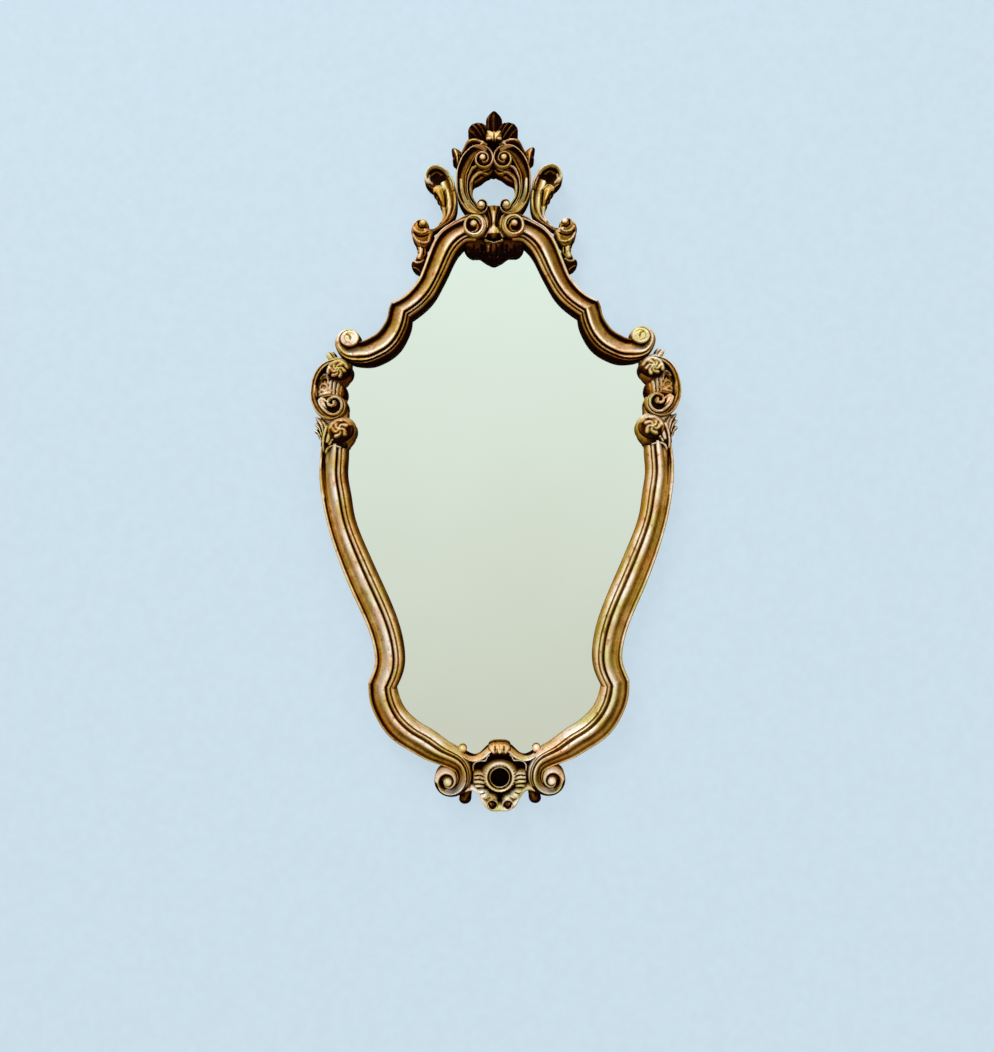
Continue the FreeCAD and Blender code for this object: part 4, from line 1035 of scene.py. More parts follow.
@dataclass
class Carving:
    """Base of the carved sub-assemblies: turns shells into pieces on the frame."""

    finish: bpy.types.Material
    glass: Glass
    body: str = "frame"
    slot_name: str = "gilded_wood"
    crease: float = 40.0

    def piece(self, node: str, parts: list[Shell]) -> bpy.types.Object:
        """One dressed piece that stands for a node of the frame.

        Args:
            node: Name of the node.
            parts: Closed shells of the piece.

        Returns:
            The new object.
        """
        vertices: list = []
        faces: list[tuple[int, ...]] = []
        wear_and_painted_light: list[float] = []
        for part in parts:
            shift = len(vertices)
            back = BACK_STEP * (1 + next(BACKS) % BACK_COUNT)
            vertices += [
                (x * MILLIMETRE, -max(h, back) * MILLIMETRE, z * MILLIMETRE)
                for x, h, z in part.points
            ]
            faces += [tuple(index + shift for index in face) for face in part.faces]
            wear_and_painted_light += list(part.wear_and_painted_light)
        mesh = bpy.data.meshes.new("carved_" + node)
        mesh.from_pydata(vertices, [], faces)
        # Per point tone: wear and patina, with painted highlights on crests and painted shade in
        # hollows
        mesh.attributes.new("wear_and_painted_light", "FLOAT", "POINT").data.foreach_set("value", wear_and_painted_light)
        mesh.polygons.foreach_set("use_smooth", [True] * len(mesh.polygons))
        mesh.set_sharp_from_angle(angle=math.radians(self.crease))
        mesh.materials.append(self.finish)
        piece = bpy.data.objects.new("carved_" + node, mesh)
        bpy.context.scene.collection.objects.link(piece)
        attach(piece, self.body)
        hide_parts(node)
        LOG.info("%s: %d shells, %d points", piece.name, len(parts), len(vertices))
        return piece

    def both(self, node: str, parts: list[Shape]) -> None:
        """Left piece and its mirror image."""
        left = [self.glass.clear(part.shell()) for part in parts]
        self.piece(node + "_left", left)
        self.piece(node + "_right", [part.mirrored() for part in left])

    def middle(self, node: str, halves: list[Shape], whole: list[Shape]) -> None:
        """Centre piece from parts of its left half and parts on the centre line."""
        left = [self.glass.clear(part.shell()) for part in halves]
        centre = [self.glass.clear(part.shell()) for part in whole]
        self.piece(node, left + [part.mirrored() for part in left] + centre)


@dataclass
class Rails(Carving):
    """The four moulded rails of each side, with their volutes."""

    upper_rows: tuple[Row, ...] = edge_rows(
        550, 7310, 448, 7090, 481, 7410, 370, 7250, 436, 7530, 321, 7400, 403, 7650, 285, 7570,
        384, 7770, 256, 7720, 363, 7920, 237, 7830, 342, 8070, 217, 7940, 316, 8220, 196, 8030,
        280, 8340, 180, 8080, 229, 8430, 161, 8130, 173, 8500, 140, 8160, 107, 8550, 97, 8160,
    )
    upper_lip: tuple[Row, ...] = edge_rows(
        316, 8220, 304, 8200, 280, 8340, 270, 8310, 229, 8430, 223, 8400, 173, 8510, 169, 8480,
        130, 8530, 128, 8500,
    )
    upper_coil: Coil = Coil(
        (0.102, 0.8358), 97, -1,
        (
            (0, 14.4), (0.25, 14.0), (0.5, 13.9), (0.75, 13.7), (0.87, 12.6), (1.0, 10.0),
            (1.12, 8.6), (1.25, 7.6), (1.45, 6.8), (1.8, 5.6), (2.6, 4.0),
        ),
        1.3,
    )
    shoulder_rows: tuple[Row, ...] = edge_rows(
        550, 7310, 448, 7090, 564, 7220, 456, 6960, 572, 7110, 475, 6830, 594, 6990, 505, 6690,
        628, 6880, 554, 6560, 669, 6810, 607, 6480, 709, 6760, 659, 6430, 732, 6750, 705, 6420,
    )
    shoulder_coil: Coil = Coil(
        (0.767, 0.678), -99, -1,
        (
            (0, 27.6), (0.053, 25.0), (0.12, 22.4), (0.197, 20.4), (0.254, 18.6), (0.315, 16.4),
            (0.377, 14.6), (0.446, 13.2), (0.545, 12.2), (0.75, 11.4), (0.9, 10.4), (1.0, 9.4),
            (1.25, 8.2), (2.0, 7.0),
        ),
        0.96, Side.SECOND, 0.03,
    )
    side_rows: tuple[Row, ...] = edge_rows(
        694, 1860, 556, 1760, 664, 2070, 518, 2010, 660, 2270, 514, 2320, 680, 2520, 539, 2650,
        722, 2820, 586, 3000, 779, 3160, 643, 3350, 846, 3620, 711, 3770, 902, 4110, 773, 4230,
        932, 4510, 793, 4570, 944, 4840, 808, 4860, 941, 5060, 804, 5060, 928, 5300, 801, 5270,
    )
    base_rows: tuple[Row, ...] = edge_rows(
        694, 1860, 556, 1760, 694, 1730, 552, 1700, 682, 1530, 538, 1570, 651, 1330, 512, 1430,
        601, 1120, 473, 1310, 533, 960, 422, 1200, 454, 830, 354, 1090, 385, 730, 280, 940,
    )
    base_coil: Coil = Coil(
        (0.273, 0.0440), 74, -1,
        (
            (0, 38.0), (0.08, 33.4), (0.152, 30.0), (0.229, 27.4), (0.296, 25.0), (0.374, 22.2),
            (0.447, 20.4), (0.541, 18.8), (0.632, 17.9), (0.733, 17.7), (0.834, 18.0),
            (0.914, 17.6), (1.005, 15.6), (1.1, 12.6), (1.22, 10.2), (1.34, 8.4), (1.49, 6.6),
            (1.65, 5.4), (1.9, 4.4), (2.3, 3.6), (3.2, 2.0),
        ),
        2.1, Side.SECOND, 0.06,
    )

    def build(self) -> None:
        """Builds the rails of both sides."""
        upper = Band(self.upper_rows, RAIL.toned(UPPER_TONES))
        rim = Band(
            self.upper_lip, LIP, self.upper_coil, RIM, (0.7, 1.3),
            ((0, 0.4), (0.6, 2), (1.2, 4.6), (2.7, 5)), GLASS_CLEAR,
        )
        comma = cut(
            Face(
                (0.106, 0.8354),
                spots(
                    161, 8356, 151, 8447, 128, 8500, 105, 8514, 79, 8496, 56, 8438, 49, 8353,
                    59, 8268, 85, 8209, 117, 8204, 143, 8236, 158, 8290,
                ),
                (
                    (1.0, 34.0, 0.5), (0.95, 40.0, 0.8), (0.86, 42.4, 0.95), (0.76, 41.6, 0.8),
                    (0.68, 38.0, 0.1), (0.4, 36.0, -0.1), (0.0, 36.0, 0.0),
                ),
                GLASS_CLEAR,
            ),
            stroke((3.0, 1.4), 3.0, 0.4, 100, 8398, 86, 8341, 95, 8276, 114, 8263),
        )
        self.both("upper_rail", [upper, rim, comma, ball((0.107, 0.8381), 4.2, 42.6)])
        shoulder = Band(
            self.shoulder_rows, RAIL.toned(SHOULDER_TONES), self.shoulder_coil, COLLAR.flipped(),
            (0.75, 1.3),
        )
        self.both("shoulder_rail", [shoulder, self.plateau()])
        side = cut(
            Band(self.side_rows, RAIL),
            stroke((1.3, 0.9), 1.2, 0.8, 912, 5470, 924, 5298, 930, 5084, 928, 4798, 916, 4511),
            stroke((1.2, 0.8), -1.2, 0.05, 896, 5412, 910, 5255, 916, 5055, 912, 4797, 897, 4482),
            stroke((1.3, 0.8), 1.0, 0.55, 881, 5383, 896, 5240, 903, 5026, 899, 4768),
        )
        drum = Face(
            (0.821, 0.5475),
            spots(
                906, 5492, 889, 5623, 851, 5680, 808, 5693, 773, 5641, 752, 5517, 755, 5386,
                777, 5270, 807, 5201, 837, 5214, 874, 5288, 898, 5390,
            ),
            (
                (1.0, 12.0, 0.5), (0.95, 19.0, 0.56), (0.84, 25.0, 0.54), (0.5, 30.0, 0.3),
                (0.0, 31.0, 0.0),
            ),
        )
        self.both("side_rail", [side, drum, self.sleeve(), self.side_volute()])
        base = cut(
            Band(
                self.base_rows, RAIL.toned(BASE_TONES), self.base_coil, BASE_RIM.flipped(),
                (1.15, 1.75), ((0, 0), (1, 0), (1.5, 2), (2.2, 5), (3.2, 5.4)),
            ),
            # The two dark strokes along the lower arc of the volute are painted shade
            stroke(
                (3.4, 2.6), -1.0, 0.06, 339, 425, 323, 317, 292, 253, 253, 235, 211, 265, 179, 341,
            ),
            stroke((2.6, 2.0), -1.0, 0.02, 307, 435, 291, 367, 263, 349, 234, 391),
            stroke((1.6, 1.2), 0.6, 0.85, 284, 310, 250, 297, 212, 333),
        )
        self.both("base_rail", [base, ball((0.274, 0.0448), 5.4, 42)])

    def plateau(self) -> Cut:
        """Flat face of the shoulder volute with its short groove."""
        face = Face(
            (0.767, 0.6778),
            spots(
                718, 6777, 725, 6840, 745, 6883, 772, 6895, 797, 6870, 814, 6814, 816, 6746,
                802, 6691, 777, 6665, 749, 6673, 728, 6712,
            ),
            (
                (1.0, 32.0, 0.35), (0.97, 35.0, 0.7), (0.9, 37.2, 0.95), (0.5, 38.2, 0.9),
                (0.0, 38.4, 0.85),
            ),
        )
        return cut(
            face,
            stroke(
                (1.5, 1.0), -0.8, 0.6, 742, 6824, 763, 6847, 784, 6825, 793, 6777, 785, 6726,
                766, 6708,
            ),
            stroke((2.0, 1.6), -1.0, 0.42, 780, 6825, 767, 6805, 761, 6768),
            stroke((1.6, 1.0), -0.8, 0.45, 762, 6782, 762, 6739),
        )

    def sleeve(self) -> Cut:
        """Leaf that wraps the top of the side rail under its volute."""
        face = Face(
            (0.881, 0.5341),
            spots(
                920, 5485, 896, 5570, 859, 5569, 823, 5482, 794, 5367, 792, 5238, 813, 5196,
                839, 5220, 866, 5232, 887, 5204, 907, 5134, 924, 5199, 927, 5342,
            ),
            ((1.0, 24.0, 0.3), (0.9, 28.0, 0.2), (0.5, 31.0, 0.0), (0.0, 31.5, 0.0)),
        )
        return cut(
            face,
            stroke((2.2, 1.6), 2.0, 0.8, 899, 5523, 911, 5410, 917, 5296, 916, 5181),
            stroke((3.4, 2.6), 2.8, 1.0, 873, 5457, 884, 5386, 892, 5315),
            stroke((1.8, 1.6), 1.8, 0.85, 858, 5365, 870, 5323, 881, 5275),
            stroke((1.7, 1.3), 2.6, 0.95, 903, 5152, 895, 5204, 878, 5243, 853, 5251, 824, 5227),
            stroke((1.4, 1.2), 1.0, 0.7, 887, 5166, 876, 5203),
        )

    def side_volute(self) -> Cut:
        """Face of the volute at the top of the side rail, with its curved ridges."""
        face = Face(
            (0.819, 0.5478),
            spots(
                887, 5473, 882, 5550, 857, 5614, 823, 5648, 789, 5632, 764, 5575, 755, 5484,
                764, 5393, 790, 5329, 822, 5301, 853, 5322, 877, 5379,
            ),
            (
                (1.0, 31.0, 0.3), (0.93, 34.0, 0.25), (0.8, 35.0, 0.1), (0.4, 36.2, 0.0),
                (0.0, 36.6, 0.0),
            ),
        )
        return cut(
            face,
            stroke(
                (4.6, 3.4), 3.6, 0.5, 889, 5387, 882, 5486, 864, 5557, 841, 5602, 815, 5615,
                789, 5597, 768, 5546,
            ),
            stroke((1.6, 1.2), 0.8, 1.0, 874, 5500, 857, 5562, 834, 5596, 810, 5601),
            *whirl((0.825, 0.5479), (1.4, 9.4), 5, 80, (2.2, 3.8), 3.4, 0.66),
        )


@dataclass
class SideCartouche(Carving):
    """Block between shoulder and side rail: a C scroll, two volutes, a calyx and a leaf."""

    ground_rows: tuple[Row, ...] = edge_rows(
        880, 6500, 770, 6450, 930, 6380, 775, 6300, 968, 6140, 812, 6120, 972, 5960, 815, 5960,
        950, 5780, 790, 5760, 930, 5560, 800, 5520, 915, 5400, 800, 5360,
    )
    scroll_rows: tuple[Row, ...] = edge_rows(
        785, 6385, 812, 6379, 796, 6473, 815, 6422, 831, 6505, 838, 6437, 867, 6498, 863, 6423,
        902, 6469, 886, 6395, 938, 6394, 913, 6333, 965, 6279, 935, 6240, 980, 6142, 948, 6126,
        986, 6005, 953, 6012, 980, 5884, 948, 5912,
    )
    scroll_coil: Coil = Coil(
        (0.858, 0.584), -160, 1,
        (
            (0, 25.0), (0.08, 21.6), (0.17, 19.0), (0.28, 17.2), (0.4, 15.6), (0.53, 13.4),
            (0.66, 12.4), (0.8, 12.0), (0.9, 11.6), (1.0, 16.0), (1.17, 13.4), (1.28, 12.0),
            (1.45, 10.6), (1.6, 9.0), (1.8, 7.6), (2.0, 6.0), (2.4, 4.0), (3.0, 2.0),
        ),
        1.0, Side.FIRST, 0.05,
    )

    def build(self) -> None:
        """Builds the cartouches of both sides."""
        ground = Band(self.ground_rows, domed(12, 17), step=3)
        scroll = cut(
            Band(
                self.scroll_rows, CSCROLL, self.scroll_coil, COLLAR, (1.0, 1.3),
                ((0, 0), (1.2, 0), (1.5, -3)),
            ),
            stroke((1.4, 1.6), 1.2, 0.95, 955, 6106, 952, 6006, 940, 5912),
        )
        body = Face(
            (0.829, 0.6339),
            spots(
                907, 6467, 880, 6532, 837, 6545, 799, 6507, 777, 6412, 777, 6289, 788, 6181,
                817, 6106, 849, 6122, 887, 6204, 908, 6336,
            ),
            (
                (1.0, 12.0, 0.46), (0.95, 19.0, 0.52), (0.84, 25.0, 0.48), (0.5, 30.0, 0.25),
                (0.0, 31.0, 0.0),
            ),
        )
        parts: list[Shape] = [
            ground, scroll, body, self.top_volute(), *self.low_volute(), self.hollow(),
            self.leaf(), self.bud(),
        ]
        self.both("side_cartouche", parts)

    def top_volute(self) -> Cut:
        """Face of the volute at the top, with its rim and inner comma."""
        face = Face(
            (0.831, 0.6352),
            spots(
                892, 6283, 888, 6368, 870, 6441, 844, 6480, 812, 6479, 786, 6439, 772, 6373,
                773, 6299, 787, 6232, 813, 6190, 845, 6191, 874, 6220,
            ),
            (
                (1.0, 30.0, 0.2), (0.93, 33.4, 0.2), (0.8, 34.6, 0.05), (0.4, 35.8, -0.05),
                (0.0, 36.4, -0.05),
            ),
        )
        return cut(
            face,
            stroke(
                (4.0, 3.0), 4.0, 0.8, 884, 6295, 877, 6372, 857, 6425, 827, 6447, 801, 6426,
                781, 6363,
            ),
            stroke((1.5, 1.2), 0.8, 1.05, 873, 6394, 854, 6442, 825, 6458, 806, 6441),
            *whirl((0.832, 0.6328), (1.6, 8.6), 6, 70, (2.0, 3.0), 3.0, 0.8),
        )

    def low_volute(self) -> list[Cut]:
        """Low coil of the C scroll: its drum, its hollow painted dark as shade and the bright line
        round it, wear and a painted highlight.
        """
        drum = Face(
            (0.847, 0.5835),
            spots(
                926, 5915, 893, 6016, 850, 6032, 818, 5979, 799, 5882, 798, 5780, 813, 5685,
                841, 5636, 884, 5652, 921, 5740,
            ),
            (
                (1.0, 12.0, 0.48), (0.95, 18.0, 0.54), (0.84, 24.0, 0.5), (0.5, 28.0, 0.3),
                (0.0, 29.0, 0.0),
            ),
        )
        face = Face(
            (0.865, 0.5829),
            spots(
                939, 5902, 927, 5953, 899, 5975, 867, 5985, 834, 5962, 810, 5904, 802, 5819,
                812, 5734, 839, 5678, 871, 5667, 903, 5716, 928, 5802,
            ),
            (
                (1.0, 30.0, 0.3), (0.95, 33.0, 0.3), (0.85, 33.6, 0.1), (0.4, 33.0, -0.1),
                (0.0, 33.0, -0.1),
            ),
        )
        strokes = (
            stroke(
                (2.2, 1.9), 4.6, 1.02, 938, 5908, 924, 5825, 898, 5745, 868, 5698, 839, 5709,
                818, 5768, 813, 5842, 824, 5910, 849, 5945, 875, 5920,
            ),
            stroke((2.6, 2.4), 4.6, 0.95, 876, 5915, 886, 5864, 873, 5823, 855, 5837, 855, 5877),
            stroke((3.8, 2.8), 2.6, 0.78, 923, 5902, 910, 5850, 892, 5801),
            stroke((2.2, 1.8), 2.0, 0.95, 927, 5922, 910, 5915, 894, 5878),
            stroke((1.5, 1.3), -2.4, -0.35, 896, 5867, 891, 5810, 873, 5781, 852, 5794),
            stroke((1.4, 1.2), 1.6, 0.45, 849, 5891, 842, 5843, 852, 5806),
        )
        return [cut(drum), Cut(face, strokes)]

    def hollow(self) -> Cut:
        """Ground inside the C scroll with its curled leaves and upright stems."""
        face = Face(
            (0.890, 0.6058),
            spots(
                961, 6032, 953, 6175, 934, 6269, 905, 6337, 873, 6258, 842, 6192, 807, 6113,
                797, 5984, 816, 5884, 843, 5942, 874, 5935, 896, 5878, 904, 5801, 931, 5825,
                951, 5917,
            ),
            ((1.0, 17.0, 0.1), (0.9, 21.0, 0.2), (0.5, 25.0, 0.42), (0.0, 26.0, 0.42)),
            tilt=(0.12, 0.0),
        )
        return cut(
            face,
            stroke((1.9, 1.5), 5.0, 0.95, 932, 6225, 918, 6276, 900, 6282, 890, 6224, 887, 6147),
            stroke((1.5, 1.2), -3.0, -0.3, 919, 6182, 908, 6216, 898, 6182),
            stroke((1.7, 1.4), 4.2, 0.85, 935, 6088, 921, 6139, 901, 6130, 889, 6081),
            stroke((2.6, 2.6), 4.4, 0.95, 937, 6026, 924, 6059, 905, 6039, 890, 6073),
            stroke((2.6, 3.4), 5.0, 1.1, 933, 5988, 911, 5999, 887, 6010),
            stroke((1.6, 1.3), -4.0, -0.5, 937, 5943, 900, 5950),
            stroke((3.0, 2.2), 3.4, 0.95, 938, 5891, 917, 5862, 893, 5830),
            stroke((2.5, 2.2), 4.6, 0.95, 874, 6172, 877, 6067, 874, 5952),
            stroke((2.5, 2.2), 4.4, 0.92, 854, 6180, 859, 6066, 859, 5952),
            stroke((2.5, 2.2), 3.6, 0.8, 834, 6151, 841, 6051, 842, 5946),
            stroke((0.8, 0.8), -1.8, 0.0, 865, 6152, 868, 5966),
            stroke((0.8, 0.8), -1.8, 0.0, 845, 6137, 850, 5960),
            stroke((1.4, 1.2), 1.0, 0.45, 818, 6108, 826, 5951),
        )

    def leaf(self) -> Cut:
        """Three tips of a leaf that sheathes the top of the side rail."""
        face = Face(
            (0.919, 0.5487),
            spots(
                968, 5689, 948, 5672, 927, 5651, 903, 5601, 887, 5486, 895, 5343, 923, 5244,
                938, 5344, 953, 5425, 970, 5469, 971, 5500, 954, 5503, 956, 5537, 971, 5560,
                972, 5592, 954, 5594, 956, 5632, 970, 5658,
            ),
            ((1.0, 15.0, 0.2), (0.9, 19.5, 0.3), (0.5, 25.0, 0.24), (0.0, 27.0, 0.2)),
        )
        return cut(
            face,
            stroke((1.7, 1.5), 2.4, 0.98, 966, 5675, 945, 5631, 926, 5550, 916, 5430),
            stroke((1.6, 1.4), 2.4, 0.95, 967, 5577, 947, 5537, 931, 5465, 925, 5358),
            stroke((1.5, 1.2), 2.0, 0.9, 967, 5486, 949, 5445, 937, 5379, 931, 5301),
            stroke((1.1, 1.0), -2.2, -0.2, 958, 5623, 938, 5554, 925, 5459),
            stroke((1.1, 1.0), -2.0, -0.2, 958, 5523, 942, 5465, 931, 5387),
            stroke((1.4, 1.2), 1.6, 0.75, 924, 5622, 905, 5544, 901, 5429),
        )

    def bud(self) -> Cut:
        """Small leaf bud between the C scroll and the shoulder."""
        face = Face(
            (0.875, 0.6554),
            spots(
                904, 6589, 893, 6626, 878, 6603, 867, 6628, 856, 6597, 854, 6548, 838, 6487,
                860, 6453, 883, 6482, 897, 6532,
            ),
            ((1.0, 14.0, 0.4), (0.85, 19.5, 0.8), (0.4, 22.5, 0.95), (0.0, 23.0, 0.95)),
        )
        return cut(face, stroke((1.2, 0.9), -1.6, 0.2, 880, 6595, 864, 6537, 850, 6480))


@dataclass
class Crest(Carving):
    """Pierced C scrolls with their inner lobed scroll and side buds."""

    scroll_rows: tuple[Row, ...] = edge_rows(
        102, 8540, 69, 8580, 141, 8580, 102, 8650, 174, 8690, 128, 8750, 193, 8820, 142, 8860,
        198, 8990, 144, 8990, 195, 9170, 139, 9100, 178, 9310, 126, 9180,
    )
    top_coil: Coil = Coil(
        (0.051, 0.9305), 150, -1,
        (
            (0, 24.6), (0.05, 22.6), (0.1, 20.6), (0.18, 17.4), (0.26, 15.0), (0.36, 12.9),
            (0.47, 11.6), (0.6, 11.3), (0.75, 11.2), (0.88, 10.9), (1.0, 10.4), (1.1, 9.6),
            (1.2, 8.4), (1.35, 6.6), (1.6, 4.8), (2.0, 3.4), (2.8, 2.0),
        ),
        1.8,
    )
    low_coil: Coil = Coil(
        (0.063, 0.8665), -120, 1,
        ((0, 13.2), (0.08, 10.8), (0.17, 9.4), (0.3, 7.8), (0.45, 7.1), (0.6, 6.8), (0.75, 6.5),
         (0.9, 6.0), (1.0, 5.4), (1.2, 4.2), (1.5, 3.2), (2.0, 2.4), (2.6, 1.6)),
        1.6, Side.FIRST, 0.02,
    )
    inner_rows: tuple[Row, ...] = edge_rows(
        50, 9210, 3, 9190, 82, 9240, 21, 9135, 108, 9240, 41, 9110, 126, 9180, 70, 9050,
        138, 9080, 101, 9010, 144, 8930, 113, 8920, 137, 8810, 108, 8810, 117, 8710, 92, 8740,
        94, 8630, 79, 8700,
    )

    def build(self) -> None:
        """Builds the crest scrolls of both sides."""
        outer = cut(
            Band(
                self.scroll_rows, CHANNEL.toned(CREST_TONES), self.top_coil, RIM, (0.9, 1.5),
                ((0, -3), (0.3, 0), (1, 0), (1.5, 3), (2.8, 4.6)),
            ),
            stroke(
                (2.6, 1.6), 0.8, 1.1, 183, 9303, 167, 9394, 140, 9467, 107, 9500, 70, 9493,
                40, 9458,
            ),
            stroke(
                (1.8, 3.0), 0.6, 1.1, 174, 9050, 169, 8907, 154, 8778, 128, 8672, 96, 8609,
                68, 8582,
            ),
        )
        tail_rows = tuple(self.scroll_rows[i] for i in (2, 1, 0))
        tail = Band(
            tail_rows, CHANNEL.toned(TAIL_TONES), self.low_coil, RIM, (0.6, 1.3),
            ((0, 0.2), (0.6, -1), (1.4, 0), (2.6, 1.5)),
        )
        inner = cut(
            Band(self.inner_rows, INNER, lifts=((0, 1), (0.5, 1), (1, -2)), step=0.9),
            stroke((1.8, 1.4), 1.8, 1.1, 94, 9228, 116, 9186, 131, 9124, 139, 9038),
            stroke(
                (1.2, 1.0), 1.0, 0.75, 31, 9134, 71, 9135, 100, 9079, 116, 8988, 119, 8888,
                110, 8793,
            ),
            stroke((0.8, 0.8), -1.4, -0.1, 50, 9106, 80, 9095, 104, 9024, 111, 8930),
            stroke(
                (0.9, 0.8), -1.4, 0.0, 55, 9169, 89, 9167, 115, 9108, 128, 9017, 130, 8902,
                120, 8788, 102, 8716,
            ),
        )
        parts: list[Shape] = [
            outer, tail, inner, ball((0.056, 0.9324), 3.8, 41), ball((0.066, 0.8665), 4.2, 38, 0),
            self.bud(),
        ]
        self.both("crest_scroll", parts)

    def bud(self) -> Cut:
        """Small two-tipped bud outside the C scroll."""
        face = Face(
            (0.199, 0.9384),
            spots(
                224, 9520, 214, 9546, 198, 9534, 184, 9513, 171, 9484, 172, 9412, 177, 9326,
                186, 9212, 199, 9298, 209, 9399, 219, 9463,
            ),
            ((1.0, 16.0, 0.1), (0.8, 21.0, 0.2), (0.4, 25.0, 0.3), (0.0, 26.0, 0.3)),
        )
        return cut(
            face,
            stroke((2.0, 1.0), -1.6, 0.1, 219, 9510, 209, 9438, 195, 9309),
            stroke((1.5, 1.0), 1.0, 0.6, 203, 9495, 192, 9395, 189, 9294),
            stroke((1.2, 0.9), -1.2, 0.25, 177, 9500, 181, 9423, 186, 9337),
        )


@dataclass
class OuterScroll(Carving):
    """Scroll whose head curls over beside the crest, with a scalloped leaf below it."""

    stem_rows: tuple[Row, ...] = edge_rows(
        222, 9110, 313, 8930, 206, 8990, 296, 8800, 196, 8860, 283, 8710, 194, 8720, 276, 8640,
        202, 8590, 272, 8560, 221, 8500, 283, 8480, 250, 8440, 302, 8410, 296, 8370, 334, 8350,
        328, 8320, 352, 8380,
    )

    def build(self) -> None:
        """Builds the outer scrolls of both sides."""
        stem = cut(
            Band(self.stem_rows, STEM, lifts=((0, -2), (0.4, 0), (0.8, -5), (1, -7))),
            stroke((2.8, 2.0), 0.4, 0.62, 220, 8951, 205, 8822, 202, 8693, 213, 8594, 235, 8500),
            stroke(
                (1.5, 1.2), 1.6, 0.95, 244, 8895, 232, 8780, 229, 8651, 243, 8529, 270, 8444,
                307, 8376,
            ),
            stroke((1.8, 1.4), -2.0, -0.1, 258, 8881, 250, 8766, 251, 8652),
            stroke((2.4, 1.6), 0.8, 1.05, 266, 8624, 262, 8538, 277, 8458),
        )
        self.both("outer_scroll", [stem, self.head(), self.leaf()])

    def head(self) -> Cut:
        """Hollow head with a raised rim that ends in a curl."""
        face = Face(
            (0.288, 0.9075),
            spots(
                201, 8887, 206, 8987, 222, 9101, 248, 9193, 279, 9251, 316, 9264, 348, 9219,
                366, 9140, 367, 9054, 352, 8982, 328, 8924, 300, 8867, 263, 8831, 226, 8830,
            ),
            (
                (1.0, 20.0, 0.3), (0.95, 26.0, 0.4), (0.86, 25.0, 0.12), (0.6, 22.6, 0.08),
                (0.3, 22.0, 0.02), (0.0, 22.6, 0.0),
            ),
        )
        return cut(
            face,
            stroke(
                (3.4, 2.6), 7.0, 1.02, 208, 8887, 213, 8993, 230, 9087, 254, 9174, 284, 9226,
                316, 9235, 343, 9196, 358, 9125, 357, 9057, 343, 9010,
            ),
            stroke((2.6, 1.8), 2.0, 0.42, 210, 8858, 222, 9001, 244, 9093),
            stroke((1.9, 1.3), 3.0, 1.0, 328, 9004, 342, 9056, 340, 9119),
            stroke((2.6, 2.2), 1.6, 0.24, 325, 9124, 301, 9161, 277, 9123),
        )

    def leaf(self) -> Cut:
        """Scalloped leaf that laps over the stem under the head."""
        face = Face(
            (0.279, 0.8796),
            spots(
                321, 8931, 305, 8974, 284, 8982, 268, 8941, 252, 8946, 236, 8915, 228, 8837,
                232, 8709, 245, 8595, 264, 8552, 274, 8667, 288, 8762, 305, 8834, 323, 8891,
            ),
            ((1.0, 22.0, 0.45), (0.9, 26.5, 0.5), (0.5, 28.5, 0.36), (0.0, 29.0, 0.3)),
        )
        return cut(
            face,
            stroke(
                (1.5, 1.3), 2.4, 1.05, 321, 8922, 308, 8959, 289, 8967, 270, 8923, 254, 8934,
                237, 8908,
            ),
            stroke((2.4, 1.8), 0.8, 0.55, 294, 8893, 286, 8821, 276, 8749),
            stroke((1.7, 1.2), -2.4, -0.15, 264, 8898, 258, 8792, 255, 8663),
            stroke((1.2, 1.0), 1.4, 0.8, 245, 8883, 239, 8777, 245, 8648),
            stroke((1.3, 1.1), -1.2, 0.05, 310, 8859, 288, 8764, 272, 8649),
        )


